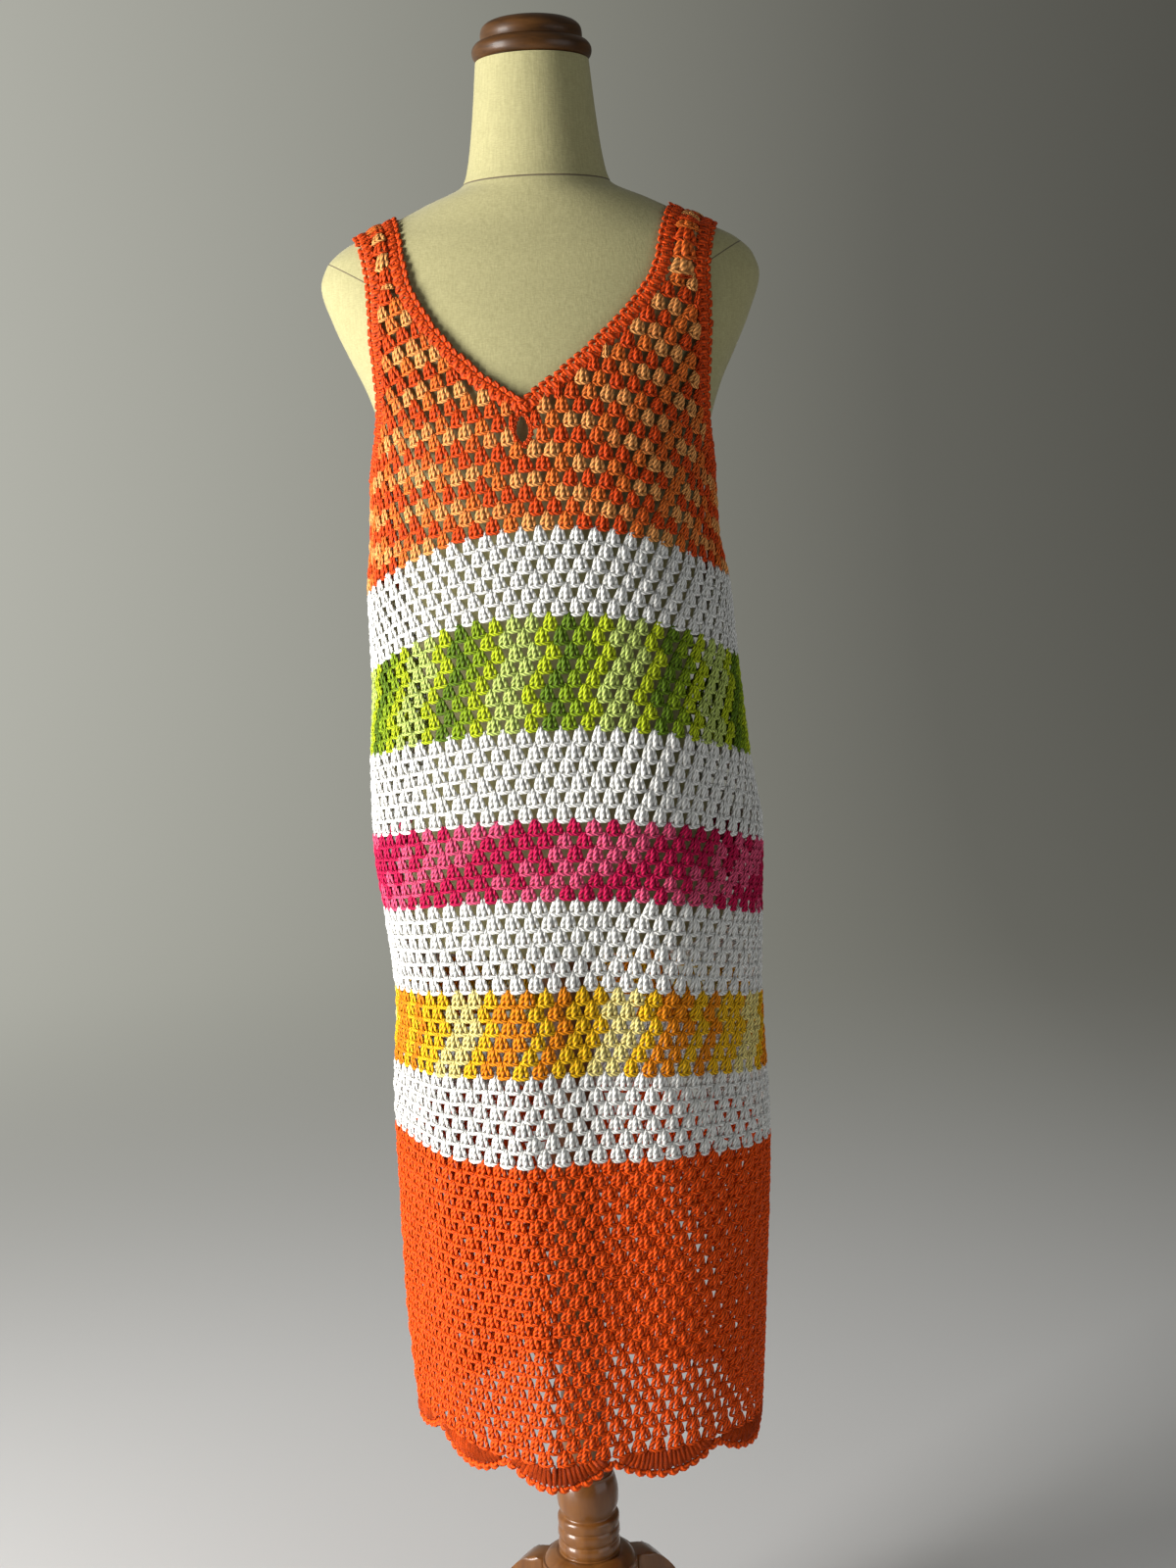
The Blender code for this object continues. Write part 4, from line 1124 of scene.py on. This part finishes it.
# Hem
def hem_spots():
    """Spots of the hem's three stitches: its top row, the fans' spokes and the bumps."""
    share, turns, girth = ring_table(BAND_LINES[-1])
    notch = float(np.interp(turn_at_x(NOTCH_X, EDGING_TOP), turns, share))
    row_low = EDGING_TOP - HEM_ROW
    straight_up = np.array((0.0, 0.0, 1.0))

    def bottom(s):
        place = (s - notch) * SCALLOPS
        curve = abs(math.sin(math.pi * place)) ** SCALLOP_ROUNDNESS
        return HEM_HEIGHT + SCALLOP_DROP * (1.0 - curve)

    def point_at(s, height):
        return cloth_point(np.interp(s % 1.0, share, turns), height)

    def outwards(s, height):
        along = point_at(s + 0.002, height) - point_at(s - 0.002, height)
        rise = point_at(s, height + 0.002) - point_at(s, height - 0.002)
        return unit(np.cross(along, rise))

    def spot(place, up, out, size):
        return place + CLOTH_MIDDLE * out, up, out, size, SKIRT_ORANGE

    rows, spokes, bumps = [], [], []
    columns = HEM_CLUSTERS * SCALLOPS
    row_size = (girth / columns / CLUSTER_WIDTH, 1.0, 1.0)
    row_middle = 0.5 * (EDGING_TOP + row_low)
    for column in range(columns):
        s = notch + (column + 0.5) / columns
        rows.append(spot(point_at(s, row_middle), straight_up, outwards(s, row_middle), row_size))
    for scallop in range(SCALLOPS):
        centre = notch + (scallop + 0.5) / SCALLOPS
        for spoke in range(FAN_SPOKES):
            f = (spoke + 0.5) / FAN_SPOKES * 2.0 - 1.0
            s_top = centre + FAN_TOP_SPREAD * f / SCALLOPS
            s_low = centre + FAN_LOW_SPREAD * f / SCALLOPS
            top = point_at(s_top, row_low + 0.001)
            low = point_at(s_low, min(bottom(s_low) + 0.002, row_low - 0.004))
            size = (1.0, 1.0, float(np.linalg.norm(top - low)))
            spokes.append(spot(0.5 * (top + low), unit(top - low), outwards(s_low, row_low), size))
        for bump in range(BUMPS):
            s = notch + (scallop + (bump + 0.5) / BUMPS) / SCALLOPS
            before, after = s - 0.001, s + 0.001
            ahead = unit(point_at(after, bottom(after)) - point_at(before, bottom(before)))
            out = outwards(s, bottom(s))
            bumps.append(spot(point_at(s, bottom(s) + 0.001), unit(np.cross(out, ahead)), out,
                              BUMP_SIZE))
    return rows, spokes, bumps


# Form and stand
ROUND_STEPS = 96
ROUND_TURNS = np.arange(ROUND_STEPS) / ROUND_STEPS * 2.0 * math.pi
SHOULDERS_FROM = 1.40
LEG_EDGE = 0.0035


def add_piece(name, data, material, slot, *nodes):
    """Piece of the object: rides on the root body and stands for CAD nodes."""
    thing = data if isinstance(data, bpy.types.Object) else bpy.data.objects.new(name, data)
    thing.name = name
    if thing.name not in bpy.context.scene.collection.objects:
        bpy.context.scene.collection.objects.link(thing)
    if not thing.data.materials:
        thing.data.materials.append(material)
    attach(thing, "root")
    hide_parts(*nodes)
    return thing


def ring(work, points):
    """Vertices at points measured from the post's axis."""
    return [work.verts.new(Vector(point) + Vector(AXIS)) for point in points]


def bridge(work, rings):
    """Faces from each ring of vertices to the next."""
    for low, high in zip(rings, rings[1:]):
        for i in range(len(low)):
            j = (i + 1) % len(low)
            work.faces.new((low[i], low[j], high[j], high[i]))


def fan(work, around, tip):
    """Faces from a ring of vertices to a point."""
    for i in range(len(around)):
        work.faces.new((around[(i + 1) % len(around)], tip, around[i]))


def form_mesh():
    """The form as a smooth closed loft, with a shallow groove at the neck seam."""
    body = np.linspace(TORSO_BOTTOM, SHOULDERS_FROM, 110)
    shoulders = np.linspace(SHOULDERS_FROM, NECK_SEAM - 0.003, 60)
    seam = NECK_SEAM + np.array((-0.0015, -0.0006, 0.0, 0.0006, 0.0015))
    neck = np.linspace(NECK_SEAM + 0.003, FORM_SECTIONS[0][0], 30)
    sine, cosine = np.sin(ROUND_TURNS), np.cos(ROUND_TURNS)
    work = bmesh.new()
    rings = []
    for height in np.concatenate([body[:-1], shoulders, seam, neck]):
        half, front, back, power = table_values(FORM_TABLE, height)
        groove = NECK_GROOVE * math.exp(-((height - NECK_SEAM) / NECK_GROOVE) ** 2)
        reach = np.where(cosine > 0, front, back) - groove
        x = (half - groove) * np.sign(sine) * np.abs(sine) ** (2.0 / power)
        y = -reach * np.sign(cosine) * np.abs(cosine) ** (2.0 / power)
        rings.append(ring(work, [(a, b, height) for a, b in zip(x, y)]))
    bridge(work, rings)
    work.faces.new(rings[0][::-1])
    work.faces.new(rings[-1])
    return smooth_mesh("form_cover", work, 50.0)


def smooth_mesh(name, work, sharp_angle):
    """Mesh from a bmesh, smooth but for its sharp edges, with faces outwards."""
    bmesh.ops.recalc_face_normals(work, faces=work.faces)
    data = bpy.data.meshes.new(name)
    work.to_mesh(data)
    work.free()
    data.shade_smooth()
    data.set_sharp_from_angle(angle=math.radians(sharp_angle))
    return data


def rounded_line(points, parts):
    """Points of a smooth line through an outline's points."""
    points = np.array(points, float)
    ends = np.vstack([2 * points[0] - points[1], points, 2 * points[-1] - points[-2]])
    line = []
    for k in range(1, len(ends) - 2):
        a, b, c, d = ends[k - 1:k + 3]
        for part in range(parts):
            t = part / parts
            line.append(b + 0.5 * t * (c - a + t * (2 * a - 5 * b + 4 * c - d
                                                   + t * (3 * (b - c) + d - a))))
    line.append(points[-1])
    return np.array(line)


def turned_mesh(name, profile):
    """Turned piece: a smooth profile from the top down, round the post's axis."""
    line = rounded_line(profile, 3)
    line[:, 0] = np.maximum(line[:, 0], 0.0)
    work = bmesh.new()
    rings = [ring(work, [(radius * math.cos(t), radius * math.sin(t), height)
                         for t in ROUND_TURNS]) for radius, height in line[1:-1]]
    top, low = ring(work, [(0.0, 0.0, line[0][1]), (0.0, 0.0, line[-1][1])])
    bridge(work, rings)
    fan(work, rings[0], top)
    fan(work, rings[-1], low)
    return smooth_mesh(name, work, 45.0)


def leg_mesh(name, angle):
    """One cabriole leg from its outline, with eased edges."""
    corner = LEG_OUTLINE.index((0.1720, 0.0000))
    upper = rounded_line(LEG_OUTLINE[:corner + 1], 3)
    lower = rounded_line(LEG_OUTLINE[corner + 1:], 3)
    outline = np.vstack([upper, lower])
    outline[:, 1] = np.maximum(outline[:, 1], 0.0)
    outline[:, 0] = np.maximum(outline[:, 0], 0.0003)
    work = bmesh.new()
    half = 0.5 * LEG_THICKNESS
    near = [work.verts.new((HUB_RADIUS + reach, -half, height)) for reach, height in outline]
    far = [work.verts.new((HUB_RADIUS + reach, half, height)) for reach, height in outline]
    work.faces.new(near)
    work.faces.new(far[::-1])
    for i in range(len(near)):
        j = (i + 1) % len(near)
        work.faces.new((near[i], far[i], far[j], near[j]))
    rims = [edge for edge in work.edges if edge.verts[0].co.y * edge.verts[1].co.y > 0]
    bmesh.ops.bevel(work, geom=rims, offset=LEG_EDGE, segments=3, profile=0.5, affect="EDGES",
                    clamp_overlap=True)
    work.transform(Matrix.Translation(Vector(AXIS)) @ Matrix.Rotation(math.radians(angle), 4, "Z"))
    return smooth_mesh(name, work, 50.0)


# Camera, light and floor
CAMERA_PLACE = (0.026, -1.800, 1.235)
CAMERA_DOWN, CAMERA_ROLL = 9.1, -2.1
SENSOR_WIDTH, LENS = 36.0, 45.0
FLOOR_RADIUS, COVE_RADIUS, BACKDROP_TOP = 3.0, 2.0, 4.2
# Painted light on the backdrop's glow: dark at the right, light towards the window at the left
BACKDROP_PAINTED_LIGHT = ((0.0, (0.055, 0.054, 0.046)), (0.27, (0.105, 0.104, 0.090)),
                  (0.5, (0.200, 0.200, 0.172)), (1.0, (0.425, 0.425, 0.380)))
LIGHTS = (
    # name, place, target, size, power, colour
    ("window", (-2.40, -1.10, 1.20), (0.0, 0.0, 0.95), (1.1, 2.3), 190.0, (1.0, 0.985, 0.96)),
    ("room", (2.30, -1.60, 1.00), (0.0, 0.0, 0.75), (2.4, 2.4), 22.0, (0.94, 0.97, 1.0)),
)


def camera():
    """Camera at the photograph's place: in front at bust height, tilted a little down."""
    data = bpy.data.cameras.new("photo_camera")
    data.sensor_fit = "AUTO"
    data.sensor_width = SENSOR_WIDTH
    data.lens = LENS
    thing = bpy.data.objects.new("photo_camera", data)
    place = Matrix.Translation(Vector(AXIS) + Vector(CAMERA_PLACE))
    thing.matrix_world = (place @ Matrix.Rotation(math.radians(90.0 - CAMERA_DOWN), 4, "X")
                          @ Matrix.Rotation(math.radians(CAMERA_ROLL), 4, "Z"))
    bpy.context.scene.collection.objects.link(thing)
    bpy.context.scene.camera = thing


def area_light(name, place, target, size, power, colour):
    """Soft rectangular light aimed at a point."""
    data = bpy.data.lights.new(name, "AREA")
    data.shape = "RECTANGLE"
    data.size, data.size_y = size
    data.energy = power
    data.color = colour
    thing = bpy.data.objects.new(name, data)
    thing.location = place
    way = Vector(target) - Vector(place)
    thing.rotation_euler = way.to_track_quat("-Z", "Y").to_euler()
    bpy.context.scene.collection.objects.link(thing)


def studio_material():
    """Pale floor that turns into a plain backdrop which glows with painted light: lighter towards the
    window, darker to the right and towards the front.
    """
    material, tree, shader = new_material("studio")
    set_inputs(shader, {"Base Color": (0.60, 0.60, 0.60, 1.0), "Roughness": 0.9,
                        "Specular IOR Level": 0.1})
    parts = add_node(tree, "ShaderNodeSeparateXYZ", {"Vector": object_place(tree)}).outputs
    # Painted light falloff: the glow is lighter towards the window, further back and lower down, and
    # takes over from the lit floor away from the middle
    shade = ramp(tree, mapped(tree, parts["X"], 1.0, 0.0, -2.4, 2.4), BACKDROP_PAINTED_LIGHT)
    behind = mapped(tree, parts["Y"], 0.30, 1.0, -1.5, 2.5, "SMOOTHSTEP")
    fall = mapped(tree, parts["Z"], 1.24, 1.14, 0.0, 3.0)
    glow = add_node(tree, "ShaderNodeEmission",
                    {"Color": shade, "Strength": worked_out(tree, "MULTIPLY", behind, fall)})
    flat = add_node(tree, "ShaderNodeCombineXYZ", {"X": parts["X"], "Y": parts["Y"]})
    away = add_node(tree, "ShaderNodeVectorMath", {0: flat.outputs["Vector"]}, operation="LENGTH")
    blend = mapped(tree, away.outputs["Value"], 0.0, 1.0, 0.7, 3.4, "SMOOTHSTEP")
    mix = add_node(tree, "ShaderNodeMixShader", {"Fac": blend, 1: shader.outputs["BSDF"],
                                                 2: glow.outputs["Emission"]})
    set_inputs(tree.nodes["Material Output"], {"Surface": mix.outputs["Shader"]})
    return material


def floor_and_light():
    """Round pale floor with a curved backdrop that glows with painted light, window light from the
    left and a weak fill.
    """
    world = bpy.data.worlds.new("studio")
    world.use_nodes = True
    set_inputs(world.node_tree.nodes["Background"],
               {"Color": (0.30, 0.30, 0.28, 1.0), "Strength": 0.5})
    bpy.context.scene.world = world
    section = [(0.5 * FLOOR_RADIUS, 0.0), (FLOOR_RADIUS, 0.0)]
    section += [(FLOOR_RADIUS + COVE_RADIUS * math.sin(a), COVE_RADIUS * (1.0 - math.cos(a)))
                for a in np.linspace(0.1, 0.5 * math.pi, 14)]
    section.append((FLOOR_RADIUS + COVE_RADIUS, BACKDROP_TOP))
    work = bmesh.new()
    rings = [[work.verts.new((radius * math.cos(t), radius * math.sin(t), height))
              for t in np.arange(72) / 72.0 * 2.0 * math.pi] for radius, height in section]
    fan(work, rings[0], work.verts.new((0.0, 0.0, 0.0)))
    bridge(work, rings[::-1])
    data = bpy.data.meshes.new("studio_floor")
    work.to_mesh(data)
    work.free()
    data.shade_smooth()
    floor = bpy.data.objects.new("studio_floor", data)
    bpy.context.scene.collection.objects.link(floor)
    data.materials.append(studio_material())
    for light in LIGHTS:
        area_light(*light)
    bpy.context.scene.view_settings.view_transform = "Standard"


# The whole dress and its stand
def crochet():
    """All crochet pieces by name, and the flat areas of the two bodice panels."""
    tree = stitch_tree()
    group = yarn_group()
    clusters = {fullness: cluster_stitch("cluster_%02d" % round(10 * fullness), fullness)
                for fullness in sorted({row[3] for row in BAND_STITCHES})}
    edge = edge_stitch()
    bump, spoke = bump_stitch(), spoke_stitch()
    slots = {"white": "white_yarn", "green": "green_yarn", "pink": "pink_yarn",
             "yellow": "yellow_yarn", "orange": "orange_yarn", "bodice": "bodice_yarn",
             "edging": "deep_orange_yarn"}
    # White yarn keeps lighter painted shade in its ply grooves than dyed yarn
    yarns = {name: yarn_material(slot, group, WHITE_GROOVE_PAINTED_SHADE if name == "white" else DYED_GROOVE_PAINTED_SHADE)
             for name, slot in slots.items()}
    front, back = panel_halves("front"), panel_halves("back")
    made = {}
    for face, halves in (("front", front), ("back", back)):
        name = "bodice_" + face
        spots = bodice_rows(face)
        for side in ("left", "right"):
            spots += strap_spots(side, face, halves[side])
        meshes = [placed(name, spots, clusters[SNUG], tree, yarns["bodice"],
                         BODICE_SEED)]
        if face == "front":
            meshes.append(placed(name + "_keyhole", keyhole_spots(), edge, tree,
                                 yarns["bodice"], KEYHOLE_SEED))
        made[name] = add_piece("crochet_" + name, joined(name, meshes), yarns["bodice"],
                               slots["bodice"], name)
    paths = {"neck_edging": neck_path(front, back),
             "armhole_edging_left": armhole_path("left", front, back),
             "armhole_edging_right": armhole_path("right", front, back)}
    for name, (points, ways) in paths.items():
        mesh = placed(name, edging_spots(points, ways, DEEP_ORANGE), edge, tree,
                      yarns["edging"], EDGING_SEED)
        made[name] = add_piece("crochet_" + name, mesh, yarns["edging"], slots["edging"], name)
    first_row = 0
    for index, (name, rows, dye, fullness) in enumerate(BAND_STITCHES, start=1):
        node = "skirt_orange" if name == "orange" else "band_" + name
        mesh = placed(node, band_spots(index, rows, dye, first_row), clusters[fullness], tree,
                      yarns[dye], BAND_SEED + index)
        made[node] = add_piece("crochet_" + node, mesh, yarns[dye], slots[dye], node)
        first_row += rows
    meshes = [placed("hem_part", spots, stitch, tree, yarns["orange"], HEM_SEED)
              for spots, stitch in zip(hem_spots(), (clusters[FULL], spoke, bump))]
    made["hem_edging"] = add_piece("crochet_hem_edging", joined("hem_edging", meshes),
                                   yarns["orange"], slots["orange"], "hem_edging")
    for stitch in (*clusters.values(), edge, bump, spoke):
        bpy.data.objects.remove(stitch, do_unlink=True)
    return made, {"bodice_front": panel_area(front), "bodice_back": panel_area(back)}


def declare_sheets(made, areas):
    """Works out each band's girth at its top and bottom line, and keeps neither."""
    for index, (name, *_) in enumerate(BAND_STITCHES, start=1):
        _, _, top_girth = ring_table(BAND_LINES[index - 1])
        _, _, low_girth = ring_table(BAND_LINES[index])


def main():
    """Build the looks and set the stage."""
    linen = linen_material()
    woods = {name: wood_material(*wood) for name, wood in WOODS.items()}
    add_piece("form_cover", form_mesh(), linen, "linen", "torso_form")
    for node, profile, wood in (("neck_cap", CAP_PROFILE, "dark"), ("post", POST_PROFILE, "honey"),
                                ("hub", HUB_PROFILE, "honey")):
        name = "turned_" + node.replace("neck_", "")
        add_piece(name, turned_mesh(name, profile), woods[wood], wood + "_wood", node)
    for node, angle in zip(("leg_front", "leg_right", "leg_left"), LEG_ANGLES):
        name = "shaped_" + node
        add_piece(name, leg_mesh(name, angle), woods["honey"], "honey_wood", node)
    declare_sheets(*crochet())
    camera()
    floor_and_light()


main()
